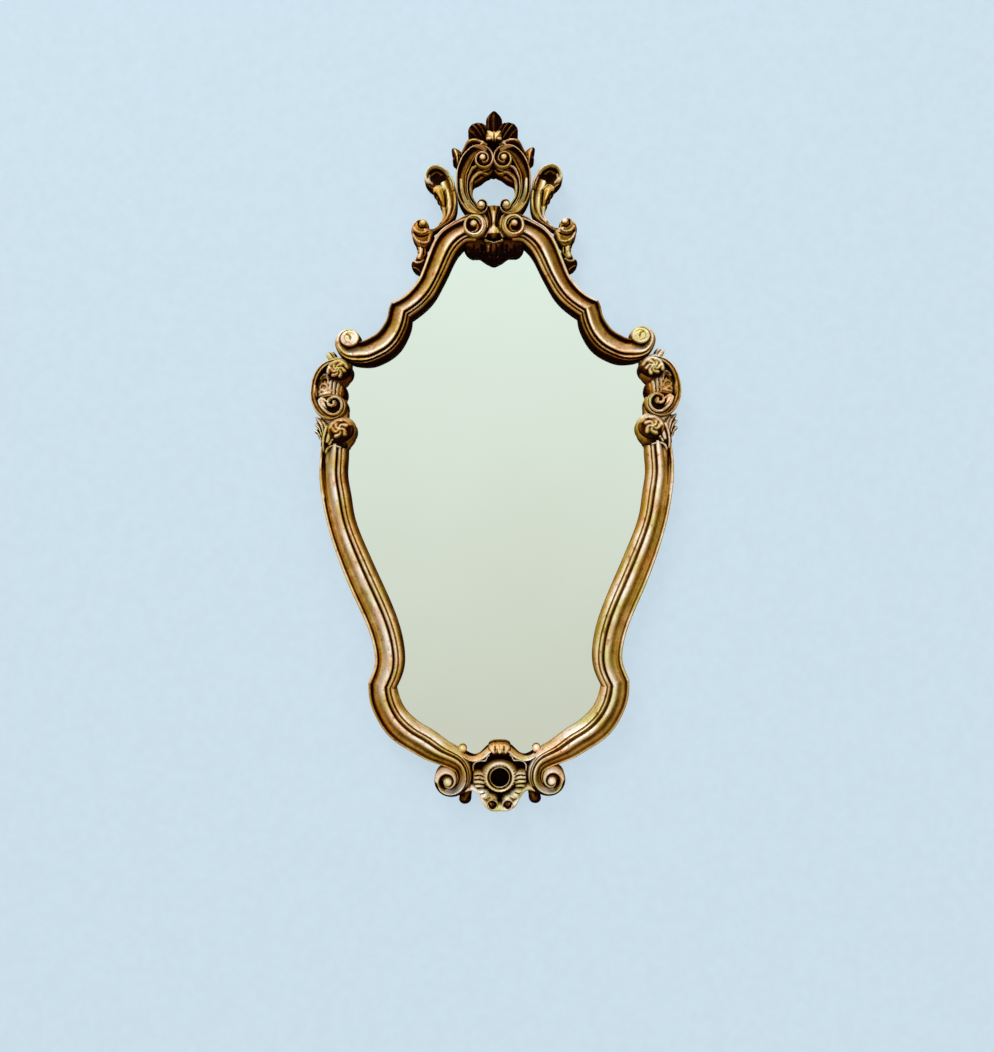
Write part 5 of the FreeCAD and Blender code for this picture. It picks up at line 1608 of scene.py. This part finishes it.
@dataclass
class LeafScroll(Carving):
    """Curled leaf that hangs outside the upper rail, with a smaller curl below it."""

    def build(self) -> None:
        """Builds the leaf scrolls of both sides."""
        parts: list[Shape] = [
            self.tail(), self.stem(), self.head(), ball((0.375, 0.8437), 4.0, 32, 0),
        ]
        self.both("leaf_scroll", parts)

    def head(self) -> Cut:
        """Large curl with rosy ridges."""
        face = Face(
            (0.385, 0.8308),
            spots(
                410, 8495, 389, 8517, 364, 8502, 350, 8450, 349, 8378, 335, 8349, 321, 8312,
                332, 8220, 348, 8126, 370, 8064, 391, 8036, 407, 8079, 422, 8171, 437, 8280,
                441, 8375, 430, 8446,
            ),
            ((1.0, 17.0, 0.3), (0.9, 22.5, 0.45), (0.5, 26.0, 0.3), (0.0, 27.0, 0.25)),
        )
        return cut(
            face,
            stroke((1.9, 1.4), 2.6, 0.9, 428, 8420, 410, 8477, 387, 8496, 361, 8476, 354, 8424),
            stroke((1.4, 1.0), -2.4, -0.4, 400, 8462, 401, 8405, 384, 8367, 361, 8381),
            stroke((1.6, 1.2), 2.6, 1.05, 426, 8372, 406, 8311, 379, 8296, 350, 8324),
            stroke((1.3, 1.0), -1.8, -0.2, 427, 8311, 405, 8251, 374, 8244, 342, 8283),
            stroke((1.5, 1.1), 2.2, 0.88, 431, 8283, 411, 8196, 383, 8153, 351, 8169),
            stroke((2.6, 2.0), 1.0, 0.6, 363, 8338, 342, 8275, 346, 8189),
            stroke((1.3, 1.0), -1.6, -0.2, 417, 8154, 399, 8090, 376, 8084),
        )

    def stem(self) -> Cut:
        """Short stem between the two curls."""
        face = Face(
            (0.389, 0.8027),
            spots(
                413, 8142, 394, 8156, 368, 8132, 361, 8055, 371, 7955, 387, 7898, 412, 7907,
                420, 7942, 405, 8013, 407, 8085,
            ),
            ((1.0, 15.0, 0.2), (0.8, 21.0, 0.4), (0.0, 24.0, 0.45)),
        )
        return cut(
            face,
            stroke((1.7, 2.6), 1.6, 1.05, 394, 8110, 390, 8038, 398, 7958),
            stroke((1.3, 1.2), -1.4, -0.2, 375, 8095, 375, 7995),
        )

    def tail(self) -> Cut:
        """Small dark curl with a pale lip."""
        face = Face(
            (0.404, 0.7859),
            spots(
                444, 7853, 441, 7910, 425, 7944, 402, 7947, 377, 7952, 365, 7894, 373, 7808,
                390, 7730, 410, 7745, 432, 7789,
            ),
            ((1.0, 13.0, 0.1), (0.8, 18.0, 0.05), (0.0, 21.0, 0.05)),
        )
        return cut(
            face,
            stroke((1.7, 1.4), 2.6, 1.05, 430, 7927, 414, 7887, 393, 7895, 377, 7940),
            stroke((1.1, 0.9), 1.0, 0.3, 434, 7821, 413, 7797, 397, 7754),
        )


@dataclass
class Crown(Carving):
    """Shell on the top of the crest, painted dark as shade, with a small fan over its hollow; the
    fan is painted bright as a highlight and the hollow dark as shade.
    """

    middle_rows: tuple[Row, ...] = edge_rows(
        20, 9553, -29, 9551, 30, 9695, -40, 9693, 37, 9823, -48, 9821, 34, 9914, -46, 9912,
        18, 9967, -30, 9966, 2, 9992, -15, 9992,
    )
    drape_rows: tuple[Row, ...] = edge_rows(
        30, 9560, 36, 9440, 66, 9610, 70, 9500, 100, 9650, 104, 9520, 132, 9640, 132, 9490,
        152, 9570, 146, 9430, 176, 9440, 166, 9390,
    )
    bridge_rows: tuple[Row, ...] = edge_rows(
        0, 9500, 0, 9140, 30, 9460, 26, 9160, 60, 9440, 52, 9180, 85, 9400, 80, 9220,
    )

    def build(self) -> None:
        """Builds the shell."""
        centre = cut(
            Band(
                self.middle_rows, domed(27, 38).toned(((0, 0.0), (0.5, 0.1), (1, 0.0))),
                lifts=((0, -4), (0.5, 0), (0.9, 0), (1, -7)), step=0.9,
            ),
            stroke((1.3, 0.8), -2.0, -0.3, 11, 9609, 13, 9737, 11, 9879, 1, 9964),
            stroke((1.3, 0.8), -2.0, -0.3, -20, 9608, -23, 9736, -23, 9878, -13, 9964),
            stroke((1.6, 1.2), 1.2, 0.2, -5, 9623, -5, 9765, -6, 9907),
            stroke((1.2, 1.0), 1.0, 0.22, 23, 9695, 26, 9823, 23, 9922),
        )
        drape = cut(
            Band(
                self.drape_rows,
                domed(22, 31).toned(((0, 0.1), (0.3, 0.3), (0.7, 0.0), (1, 0.0))),
                lifts=((0, 3), (0.4, 0), (1, -6)), step=1.1,
            ),
            stroke((1.8, 1.4), 1.0, 0.72, 48, 9563, 87, 9613, 122, 9600),
            stroke((1.6, 1.2), 2.0, 1.0, 64, 9527, 52, 9563, 64, 9607),
        )
        bridge = Band(
            self.bridge_rows, domed(20, 24).toned(((0, 0.0), (0.5, 0.05), (1, 0.0))), step=2,
        )
        self.middle("crest_shell", [self.lobe(), drape, bridge], [centre, self.fan()])

    def lobe(self) -> Cut:
        """Side lobe of the shell with slanting ridges."""
        face = Face(
            (0.079, 0.9731),
            spots(
                132, 9733, 130, 9810, 114, 9852, 89, 9868, 63, 9862, 40, 9824, 21, 9787, 13, 9687,
                17, 9587, 48, 9551, 90, 9589, 124, 9633,
            ),
            ((1.0, 22.0, 0.0), (0.92, 28.0, 0.08), (0.5, 32.0, 0.06), (0.0, 33.0, 0.06)),
            tilt=(0.25, 0.0),
        )
        return cut(
            face,
            stroke((1.6, 1.2), -2.2, -0.3, 118, 9812, 90, 9709, 61, 9588),
            stroke((1.5, 1.2), -2.2, -0.3, 97, 9846, 69, 9731, 41, 9602),
            stroke((1.4, 1.2), -2.2, -0.3, 70, 9851, 46, 9736, 27, 9616),
            stroke((1.2, 1.0), 1.4, 0.24, 108, 9826, 77, 9708, 50, 9594),
            stroke((1.2, 1.0), 1.4, 0.22, 82, 9845, 56, 9731, 33, 9607),
            stroke((1.3, 1.0), 1.2, 0.2, 127, 9761, 103, 9681, 82, 9609),
        )

    def fan(self) -> Cut:
        """Little fan at the foot of the middle lobe, painted bright as a highlight."""
        face = Face(
            (-0.005, 0.9633),
            spots(
                45, 9583, 39, 9668, 23, 9725, 8, 9685, -5, 9710, -18, 9684, -33, 9723, -49, 9666,
                -54, 9581, -29, 9556, -5, 9571, 20, 9557,
            ),
            ((1.0, 33.0, 0.0), (0.8, 38.4, 0.2), (0.4, 39.6, 0.6), (0.0, 40.0, 0.8)),
            20.0,
        )
        return cut(
            face, stroke((1.8, 1.0), 1.2, 0.9, 1, 9577, 16, 9639, 29, 9705),
            stroke((1.8, 1.0), 1.2, 0.9, -10, 9576, -26, 9638, -39, 9703),
            stroke((1.6, 1.6), 1.2, 1.0, 32, 9586, 16, 9583),
            stroke((1.6, 1.6), 1.2, 1.0, -41, 9584, -26, 9581),
            stroke((1.2, 0.8), -1.0, 0.3, -5, 9576, -5, 9690),
        )


@dataclass
class Keystone(Carving):
    """Leaf that locks the two upper rails, over a palmette in front of the glass that is painted
    dark as shade.
    """

    leaf_rows: tuple[Row, ...] = edge_rows(
        52, 8636, -51, 8633, 41, 8573, -41, 8571, 30, 8488, -29, 8486, 25, 8403, -23, 8401,
        29, 8318, -26, 8316, 35, 8252, -32, 8250, 24, 8195, -20, 8194,
    )
    ground_rows: tuple[Row, ...] = edge_rows(
        110, 8620, -110, 8620, 118, 8400, -118, 8400, 118, 8180, -118, 8180,
    )
    shield_rows: tuple[Row, ...] = edge_rows(
        131, 8257, -129, 8257, 160, 8185, -157, 8184, 160, 8075, -157, 8074, 128, 7986, -124, 7985,
        83, 7970, -79, 7970, 48, 7905, -44, 7905, 20, 7869, -17, 7870,
    )

    def build(self) -> None:
        """Builds the keystone and the palmette."""
        ground = Band(self.ground_rows, domed(13, 17).toned(((0, 0.0), (1, 0.0))), step=3)
        leaf = cut(
            Band(
                self.leaf_rows, domed(27, 36).toned(((0, 0.2), (0.5, 0.55), (1, 0.2))),
                lifts=((0, 3), (0.2, 1), (0.55, -1), (0.85, 3), (1, -2)), step=0.9,
            ),
            stroke((1.4, 1.0), -2.4, -0.1, 29, 8616, 18, 8530, 13, 8402, 18, 8275),
            stroke((1.4, 1.0), -2.4, -0.1, -28, 8614, -17, 8529, -10, 8402, -15, 8274),
            stroke((1.7, 2.0), 1.2, 0.85, 0, 8558, 1, 8416),
            stroke((3.0, 3.0), 1.6, 1.12, 25, 8280, 1, 8331, -22, 8279),
            stroke((2.2, 1.6), 0.8, 0.3, 0, 8629, 0, 8572),
        )
        self.middle("keystone", [self.calyx()], [ground, leaf, self.cup()])
        shield = cut(
            Band(
                self.shield_rows, domed(14, 22).toned(((0, 0.0), (0.5, 0.0), (1, 0.0))),
                low=GLASS_CLEAR, lifts=((0, 3), (0.6, 0), (1, -3)), step=1.4,
            ),
        )
        self.middle("apron", [self.wing()], [shield, self.tongue()])

    def calyx(self) -> Cut:
        """Side leaf between the keystone and the crest volute."""
        face = Face(
            (0.050, 0.8368),
            spots(
                74, 8532, 58, 8574, 37, 8554, 19, 8473, 18, 8368, 30, 8268, 49, 8169, 66, 8198,
                71, 8312, 69, 8440,
            ),
            ((1.0, 20.0, 0.05), (0.85, 27.0, 0.25), (0.4, 31.0, 0.3), (0.0, 32.0, 0.3)),
        )
        return cut(
            face, stroke((1.4, 1.1), 1.8, 0.8, 52, 8542, 37, 8456, 34, 8351),
            stroke((1.2, 1.0), -1.6, -0.3, 61, 8508, 49, 8408, 49, 8280),
            stroke((1.4, 1.1), 1.6, 0.85, 43, 8217, 32, 8285),
        )

    def cup(self) -> Cut:
        """Hollow under the leaf, painted dark as shade, with a thin pale rim."""
        face = Face(
            (0.002, 0.8201),
            spots(
                52, 8188, 43, 8236, 22, 8259, 2, 8264, -18, 8257, -39, 8234, -48, 8185, -31, 8137,
                2, 8116, 35, 8139,
            ),
            ((1.0, 24.0, 0.1), (0.88, 29.0, 0.2), (0.6, 27.0, -0.3), (0.0, 25.0, -0.4)),
            12.0,
        )
        return cut(
            face,
            stroke(
                (1.3, 1.3), 4.6, 1.0, 49, 8180, 33, 8153, 15, 8142, 2, 8127, -10, 8141, -28, 8152,
                -45, 8177,
            ),
        )

    def tongue(self) -> Cut:
        """Middle lobes of the palmette."""
        face = Face(
            (0.003, 0.7999),
            spots(
                46, 8132, 25, 8146, 2, 8154, -20, 8144, -41, 8129, -43, 8043, -33, 7958, -17, 7901,
                3, 7887, 23, 7902, 39, 7960, 48, 8046,
            ),
            ((1.0, 25.0, 0.0), (0.9, 30.0, 0.08), (0.4, 34.0, 0.1), (0.0, 35.0, 0.1)),
            GLASS_CLEAR,
        )
        return cut(
            face, stroke((1.2, 1.0), -2.6, -0.4, 16, 8099, 19, 7999, 16, 7900),
            stroke((1.2, 1.0), -2.6, -0.4, -11, 8098, -13, 7998, -10, 7899),
            stroke((1.5, 1.5), 0.8, 0.3, 25, 7920, 3, 7876, -19, 7918),
            stroke((1.2, 1.0), 0.8, 0.35, 31, 8076, 33, 8000),
        )

    def wing(self) -> Cut:
        """Side lobes of the palmette."""
        face = Face(
            (0.092, 0.8059),
            spots(
                161, 8136, 136, 8182, 98, 8207, 60, 8206, 30, 8176, 30, 8083, 45, 7987, 63, 7962,
                81, 8006, 102, 7983, 128, 7990, 150, 8042,
            ),
            ((1.0, 18.0, 0.0), (0.9, 23.0, 0.06), (0.4, 27.0, 0.08), (0.0, 28.0, 0.08)),
            GLASS_CLEAR,
        )
        return cut(
            face, stroke((1.3, 1.1), -2.8, -0.4, 68, 8112, 67, 8035, 79, 7955),
            stroke((1.2, 1.0), -2.4, -0.4, 107, 8099, 109, 8028, 102, 7950),
            stroke((1.3, 1.1), 1.0, 0.24, 100, 8013, 89, 7987, 76, 8012),
            stroke((1.3, 1.0), 0.8, 0.22, 53, 8012, 44, 7948),
            stroke((1.3, 1.1), 0.8, 0.3, 141, 8028, 126, 7971),
        )


@dataclass
class BasePiece(Carving):
    """Cartouche between the base volutes, with its rosette."""

    centre: Pair = (0.0, 0.050)
    top_rows: tuple[Row, ...] = edge_rows(
        -3, 940, -2, 864, 29, 930, 27, 850, 57, 902, 49, 822, 80, 856, 68, 771, 103, 804, 96, 729,
        127, 770, 126, 707, 156, 768, 159, 719, 182, 804, 196, 778,
    )
    low_rows: tuple[Row, ...] = edge_rows(
        0, 5, 0, 120, 30, 0, 28, 100, 56, 20, 48, 120, 80, 60, 70, 160, 102, 155, 90, 240,
        124, 245, 114, 330, 150, 285, 144, 380, 186, 260, 186, 360,
    )
    ground_rows: tuple[Row, ...] = edge_rows(
        0, 920, 0, 30, 50, 920, 50, 40, 95, 820, 90, 160, 140, 770, 130, 300, 190, 840, 186, 300,
    )

    def build(self) -> None:
        """Builds the cartouche and the rosette."""
        ground = Band(self.ground_rows, domed(12, 15).toned(((0, -0.15), (1, -0.15))), step=3)
        top = Band(self.top_rows, RAMP, step=1.2)
        low = Band(self.low_rows, LIP, lifts=((0, 5), (0.5, 3), (1, -2)), step=1.2)
        parts: list[Shape] = [
            ground, top, low, ball((0.198, 0.0863), 5.2, 17), self.drop(), self.socket(),
            self.clump(), self.thread(), *self.petals(),
        ]
        self.middle("base_cartouche", parts, [self.collar()])
        # The rosette's hole is painted near black: painted shade
        ring = Turned(
            self.centre,
            (
                (18.4, 25, 0.2), (18.9, 30, 0.6), (18.2, 33.6, 0.95), (17.0, 35.0, 1.05),
                (15.9, 34.2, 0.8), (15.0, 32.4, 0.2), (13.8, 32.0, 0.05), (12.9, 32.8, 0.25),
                (12.3, 34.0, 0.7), (11.8, 33.4, 0.5), (11.5, 30, -0.3), (11.3, 14, -0.8),
                (6.0, 11.5, -1.0), (0.3, 11.5, -1.0),
            ),
            9.5, 14, 0.7, (0.86, 1.02), segments=144,
        )
        self.middle("rosette", [], [ring])

    def collar(self) -> Turned:
        """Round bed of the rosette."""
        # Its middle is painted near black: painted shade
        return Turned(
            self.centre,
            (
                (25.0, 18, 0.0), (25.0, 22, 0.1), (23.0, 24.5, 0.2), (20.6, 29, 0.55),
                (19.4, 33.4, 0.9), (18.0, 34.6, 1.0), (17.2, 31.4, 0.4), (16.0, 26, -0.2),
                (13.6, 12, -0.6), (10.0, 10, -0.8), (0.3, 10, -0.8),
            ),
            0.0, 14, 1.6, (0.62, 0.86), (1.0, 0.80, 0.86), 168, 2,
        )

    def petals(self) -> list[Cut]:
        """Fluted petals on both sides of the rosette and the larger ones below."""
        side = Face(
            (0.108, 0.0453),
            spots(
                136, 574, 115, 582, 86, 553, 78, 481, 79, 381, 93, 316, 121, 317, 137, 374,
                140, 474,
            ),
            ((1.0, 22.0, 0.2), (0.85, 29.0, 0.5), (0.4, 32.0, 0.6), (0.0, 33.0, 0.6)),
        )
        ridges = tuple(Stroke(row, (1.35, 1.2), 1.6, 1.08) for row in FLUTE_RIDGES)
        gaps = tuple(Stroke(row, (1.0, 0.9), -2.2, -0.3) for row in FLUTE_GAPS)
        lower = Face(
            (0.087, 0.0239),
            spots(
                130, 320, 105, 340, 74, 310, 50, 247, 16, 209, 4, 145, 32, 123, 64, 127, 96, 171,
                120, 240,
            ),
            ((1.0, 20.0, 0.2), (0.85, 27.0, 0.6), (0.4, 31.0, 0.75), (0.0, 32.0, 0.8)),
        )
        strokes = (
            stroke((1.8, 1.4), 1.2, 1.05, 121, 288, 92, 308),
            stroke((1.0, 0.9), -2.2, -0.1, 113, 251, 81, 273),
            stroke((1.9, 1.5), 1.4, 1.08, 101, 202, 67, 241),
            stroke((1.0, 0.9), -2.0, 0.0, 82, 159, 53, 207),
            stroke((1.8, 1.4), 1.2, 1.0, 55, 155, 27, 183),
        )
        return [Cut(side, ridges + gaps), Cut(lower, strokes)]

    def socket(self) -> Cut:
        """Dark pearl in a pale socket at the foot."""
        face = Face(
            (0.043, 0.0095),
            spots(72, 96, 66, 156, 48, 184, 27, 177, 11, 134, 8, 80, 19, 23, 40, 3, 61, 30),
            (
                (1.0, 26.0, 0.3), (0.92, 30.0, 0.85), (0.82, 32.4, 0.95), (0.72, 29.0, -0.2),
                (0.55, 32.0, 0.02), (0.0, 35.0, 0.1),
            ),
        )
        return cut(face, stroke((1.0, 0.8), 0.2, 0.3, 51, 127, 47, 121))

    def drop(self) -> Face:
        """Drop that hangs under the low scroll, painted dark as the shade under it."""
        return Face(
            (0.187, 0.0148),
            spots(
                220, 143, 210, 191, 192, 211, 176, 277, 152, 276, 155, 190, 158, 118, 180, 76,
                206, 85,
            ),
            ((1.0, 13.0, 0.0), (0.85, 17.0, 0.05), (0.4, 20.0, 0.14), (0.0, 21.0, 0.16)),
        )

    def clump(self) -> Cut:
        """Leaf clump on the top scroll over its dark hollow."""
        face = Face(
            (0.026, 0.0875),
            spots(
                60, 879, 57, 922, 40, 947, 19, 955, -6, 954, -8, 883, -5, 811, 11, 812, 28, 801,
                42, 821, 56, 836,
            ),
            ((1.0, 20.0, 0.3), (0.85, 26.0, 0.5), (0.4, 29.6, 0.45), (0.0, 30.0, 0.45)),
            14.0,
        )
        return cut(
            face, stroke((1.9, 1.7), 1.0, 1.05, 45, 906, 33, 843),
            stroke((1.1, 1.0), -2.2, 0.1, 24, 929, 23, 872),
            stroke((1.6, 1.8), 1.0, 1.05, 5, 920, 0, 842),
            stroke((1.4, 1.4), -3.0, -0.5, 53, 810, 28, 780, -4, 791),
        )

    def thread(self) -> Band:
        """Thin wavy shell line between the top scroll and the rosette."""
        rows = (
            (0.144, 0.0587, 0.135, 0.0581), (0.145, 0.0650, 0.136, 0.0641),
            (0.135, 0.0701, 0.128, 0.0686), (0.117, 0.0729, 0.113, 0.0709),
            (0.091, 0.0737, 0.090, 0.0714), (0.077, 0.0742, 0.069, 0.0725),
            (0.070, 0.0785, 0.062, 0.0770), (0.056, 0.0819, 0.051, 0.0798),
        )
        return Band(rows, domed(20, 29), step=0.9)


class Hidden(Enum):
    """Nodes of the frame that keep their shape, by the finish they take."""

    BOARD = ("back_board",)
    TIMBER = ("crest_batten", "top_batten", "base_batten", "joint_dowels", "glass_pads")
    BRASS = ("hanger_strap_left", "hanger_strap_right", "hanger_ring_left", "hanger_ring_right")
    STEEL = (
        "turn_button_upper_left", "turn_button_upper_right", "turn_button_side_left",
        "turn_button_side_right", "turn_button_lower_left", "turn_button_lower_right",
        "turn_button_base_left", "turn_button_base_right",
    )
    SCREWS = ("batten_screws", "hanger_screws", "turn_button_screws")
    RUBBER = ("wall_bumpers",)
    GLASS = ("mirror_glass",)


@dataclass
class Fittings:
    """Glass, board and hardware, which keep the frame's own shapes."""

    board: Timber = Timber(
        "pressed_board", linear(150, 110, 70), linear(110, 76, 44), (1, 1, 1), 380.0
    )
    timber: Timber = Timber(
        "plain_batten_wood", linear(206, 170, 120), linear(160, 118, 72), (0.08, 1, 1)
    )
    brass: Fitting = Fitting(
        "aged_brass", linear(205, 165, 90), linear(140, 104, 50), 0.9, (0.28, 0.45)
    )
    steel: Fitting = Fitting(
        "zinc_plated_steel", linear(196, 198, 200), linear(140, 142, 146), 0.9, (0.3, 0.5)
    )
    screws: Fitting = Fitting(
        "dull_screw_steel", linear(168, 166, 160), linear(104, 100, 94), 0.85, (0.35, 0.55)
    )
    rubber: Fitting = Fitting(
        "moulded_rubber", linear(58, 56, 54), linear(38, 37, 36), 0.0, (0.7, 0.9)
    )
    silvering: Silvering = Silvering()

    def build(self) -> None:
        """Dresses every node that keeps its shape."""
        finishes = {
            Hidden.BOARD: self.board, Hidden.TIMBER: self.timber, Hidden.BRASS: self.brass,
            Hidden.STEEL: self.steel, Hidden.SCREWS: self.screws, Hidden.RUBBER: self.rubber,
            Hidden.GLASS: self.silvering,
        }
        for group, finish in finishes.items():
            material = finish.material()
            for name in group.value:
                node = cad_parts[name]
                node.data.materials.clear()
                node.data.materials.append(material)
                LOG.info("%s: %s", name, material.name)


@dataclass
class Studio:
    """Wall, floor, lamps and world. None of it belongs to the mirror."""

    wall_y: float = 0.0066
    wall_top: float = 2.2
    wall_reach: float = 3
    floor_z: float = -1.05
    floor_reach: float = 4
    wall_colour: Colour = linear(208, 228, 240)
    floor_colour: Colour = linear(226, 226, 224)
    backdrop: Colour = linear(251, 252, 250)
    even_light: Colour = (0.95, 0.97, 1.0)
    wall_glow: float = 0.8
    world_strength: float = 0.5
    # Name, place, size and power of each lamp
    lamps: tuple = (
        ("key", (-0.95, -2.0, 2.05), 1.3, 46.0),
        ("fill", (1.6, -2.2, 0.2), 1.8, 9.0),
        ("back", (0.6, 2.2, 1.4), 1.6, 16.0),
    )

    def build(self) -> None:
        """Sets up the stage and the light."""
        ends = ((-1, 0), (1, 0), (1, 1), (-1, 1))
        tall = (self.floor_z, self.wall_top)
        corners = [(side * self.wall_reach, self.wall_y, tall[up]) for side, up in ends]
        self.sheet("wall", corners, self.wall_material())
        deep = (-self.floor_reach, self.floor_reach)
        corners = [(side * self.floor_reach, deep[far], self.floor_z) for side, far in ends]
        self.sheet("floor", corners, self.floor_material())
        for lamp in self.lamps:
            self.lamp(*lamp)
        self.world()
        bpy.context.scene.view_settings.view_transform = "Standard"
        LOG.info("studio ready")

    def sheet(self, name: str, corners: list, finish: bpy.types.Material) -> None:
        """Flat sheet of the stage."""
        mesh = bpy.data.meshes.new(name)
        mesh.from_pydata(corners, [], [(0, 1, 2, 3)])
        made = bpy.data.objects.new(name, mesh)
        bpy.context.scene.collection.objects.link(made)
        made.data.materials.append(finish)

    def mottled(self, graph: Graph, noise: Socket, low: float, pale: Colour, dim: float) -> Socket:
        """Colour dimmed a little by a noise, below its middle and down to a low value."""
        dimmed = tuple(value * dim for value in pale)
        return graph.ramp(noise, ((low, dimmed), (1 - low, pale)))

    def shown(self, graph: Graph, factor: object, *shaders: Socket) -> Socket:
        """Mix of two shaders."""
        inputs = {0: factor, 1: shaders[0], 2: shaders[1]}
        return graph.add("ShaderNodeMixShader", inputs).outputs[0]

    def floor_material(self) -> bpy.types.Material:
        """Pale floor, which reflections see as the bright background."""
        material, graph, shader = new_graph("pale_floor")
        speckle = graph.noise(graph.place(), 40.0, 3.0)
        colour = self.mottled(graph, speckle, 0.3, self.floor_colour, 0.94)
        graph.fill(shader, {"Base Color": colour, "Roughness": 0.8})
        path = graph.add("ShaderNodeLightPath").outputs
        mirrored = graph.sums("MAXIMUM", path["Is Glossy Ray"], path["Is Transmission Ray"])
        bright = graph.add("ShaderNodeEmission", {0: (*self.backdrop, 1), 1: 1.0}).outputs[0]
        mixed = self.shown(graph, mirrored, shader.outputs[0], bright)
        graph.fill(graph.tree.nodes["Material Output"], {0: mixed})
        return material

    def wall_material(self) -> bpy.types.Material:
        """Painted wall that shows from its front only, so that the back stays in view."""
        material, graph, shader = new_graph("painted_wall")
        rough = graph.noise(graph.place(), 90.0, 4.0)
        colour = self.mottled(graph, rough, 0.35, self.wall_colour, 0.97)
        bump = graph.bump(rough, 0.15, 0.001)
        graph.fill(shader, {"Base Color": colour, "Roughness": 0.9, "Normal": bump})
        seen = graph.add("ShaderNodeLightPath").outputs["Is Camera Ray"]
        behind = graph.add("ShaderNodeNewGeometry").outputs["Backfacing"]
        factor = graph.sums("MULTIPLY", seen, graph.sums("SUBTRACT", 1.0, behind))
        clear = graph.add("ShaderNodeBsdfTransparent").outputs[0]
        glow = graph.add("ShaderNodeEmission", {0: colour, 1: 1.0}).outputs[0]
        paint = self.shown(graph, self.wall_glow, shader.outputs[0], glow)
        mixed = self.shown(graph, factor, clear, paint)
        graph.fill(graph.tree.nodes["Material Output"], {0: mixed})
        return material

    def lamp(self, name: str, place: tuple, size: float, power: float) -> None:
        """Soft square lamp that faces the mirror."""
        data = bpy.data.lights.new(name, "AREA")
        data.size = size
        data.energy = power
        made = bpy.data.objects.new(name, data)
        bpy.context.scene.collection.objects.link(made)
        target = Vector((0, 0, -0.1))
        made.location = place
        made.rotation_euler = (target - Vector(place)).to_track_quat("-Z", "Y").to_euler()

    def world(self) -> None:
        """Even light, with a pale background for the camera and for reflections."""
        world = bpy.data.worlds.new("studio")
        bpy.context.scene.world = world
        world.use_nodes = True
        graph = Graph(world.node_tree)
        path = graph.add("ShaderNodeLightPath").outputs
        shown = graph.sums("MAXIMUM", path["Is Camera Ray"], path["Is Glossy Ray"])
        shown = graph.sums("MAXIMUM", shown, path["Is Transmission Ray"])
        even, pale = (
            graph.add("ShaderNodeBackground", {0: (*colour, 1), 1: strength}).outputs[0]
            for colour, strength in ((self.even_light, self.world_strength), (self.backdrop, 1.0))
        )
        mixed = self.shown(graph, shown, even, pale)
        for node in list(world.node_tree.nodes):
            if node.type == "OUTPUT_WORLD":
                graph.fill(node, {0: mixed})


@dataclass
class ViewPoint:
    """Camera at the photograph's viewing angle."""

    distance: float = 1.400
    level: float = -0.1827
    across: float = -0.00025
    roll: float = 0.0105
    lens: float = 37.64
    sensor: float = 36.0

    def build(self) -> None:
        """Creates the camera and makes it the scene's own."""
        data = bpy.data.cameras.new("view")
        data.sensor_width = self.sensor
        data.lens = self.lens
        camera = bpy.data.objects.new("view", data)
        bpy.context.scene.collection.objects.link(camera)
        right = Vector((math.cos(self.roll), 0, -math.sin(self.roll)))
        up = Vector((math.sin(self.roll), 0, math.cos(self.roll)))
        turn = Matrix((right, up, right.cross(up))).transposed()
        stand = Matrix.Translation((self.across, -self.distance, self.level))
        camera.matrix_world = stand @ turn.to_4x4()
        bpy.context.scene.camera = camera
        LOG.info("camera at %.3f m", self.distance)


def corners(box: tuple) -> list[list[float]]:
    """Lowest and highest corner as plain numbers."""
    return [list(corner) for corner in box]


def main() -> None:
    """Builds the mirror's looks in order."""
    logging.basicConfig(level=logging.INFO, format="%(name)s %(message)s")
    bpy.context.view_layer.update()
    glass = Glass()
    gold = Gilding().material()
    carvings = (
        Rails, SideCartouche, Crest, OuterScroll, LeafScroll, Crown, Keystone, BasePiece
    )
    for carving in carvings:
        carving(gold, glass).build()
    Fittings().build()
    Studio().build()
    ViewPoint().build()


if __name__ == "__main__":
    main()
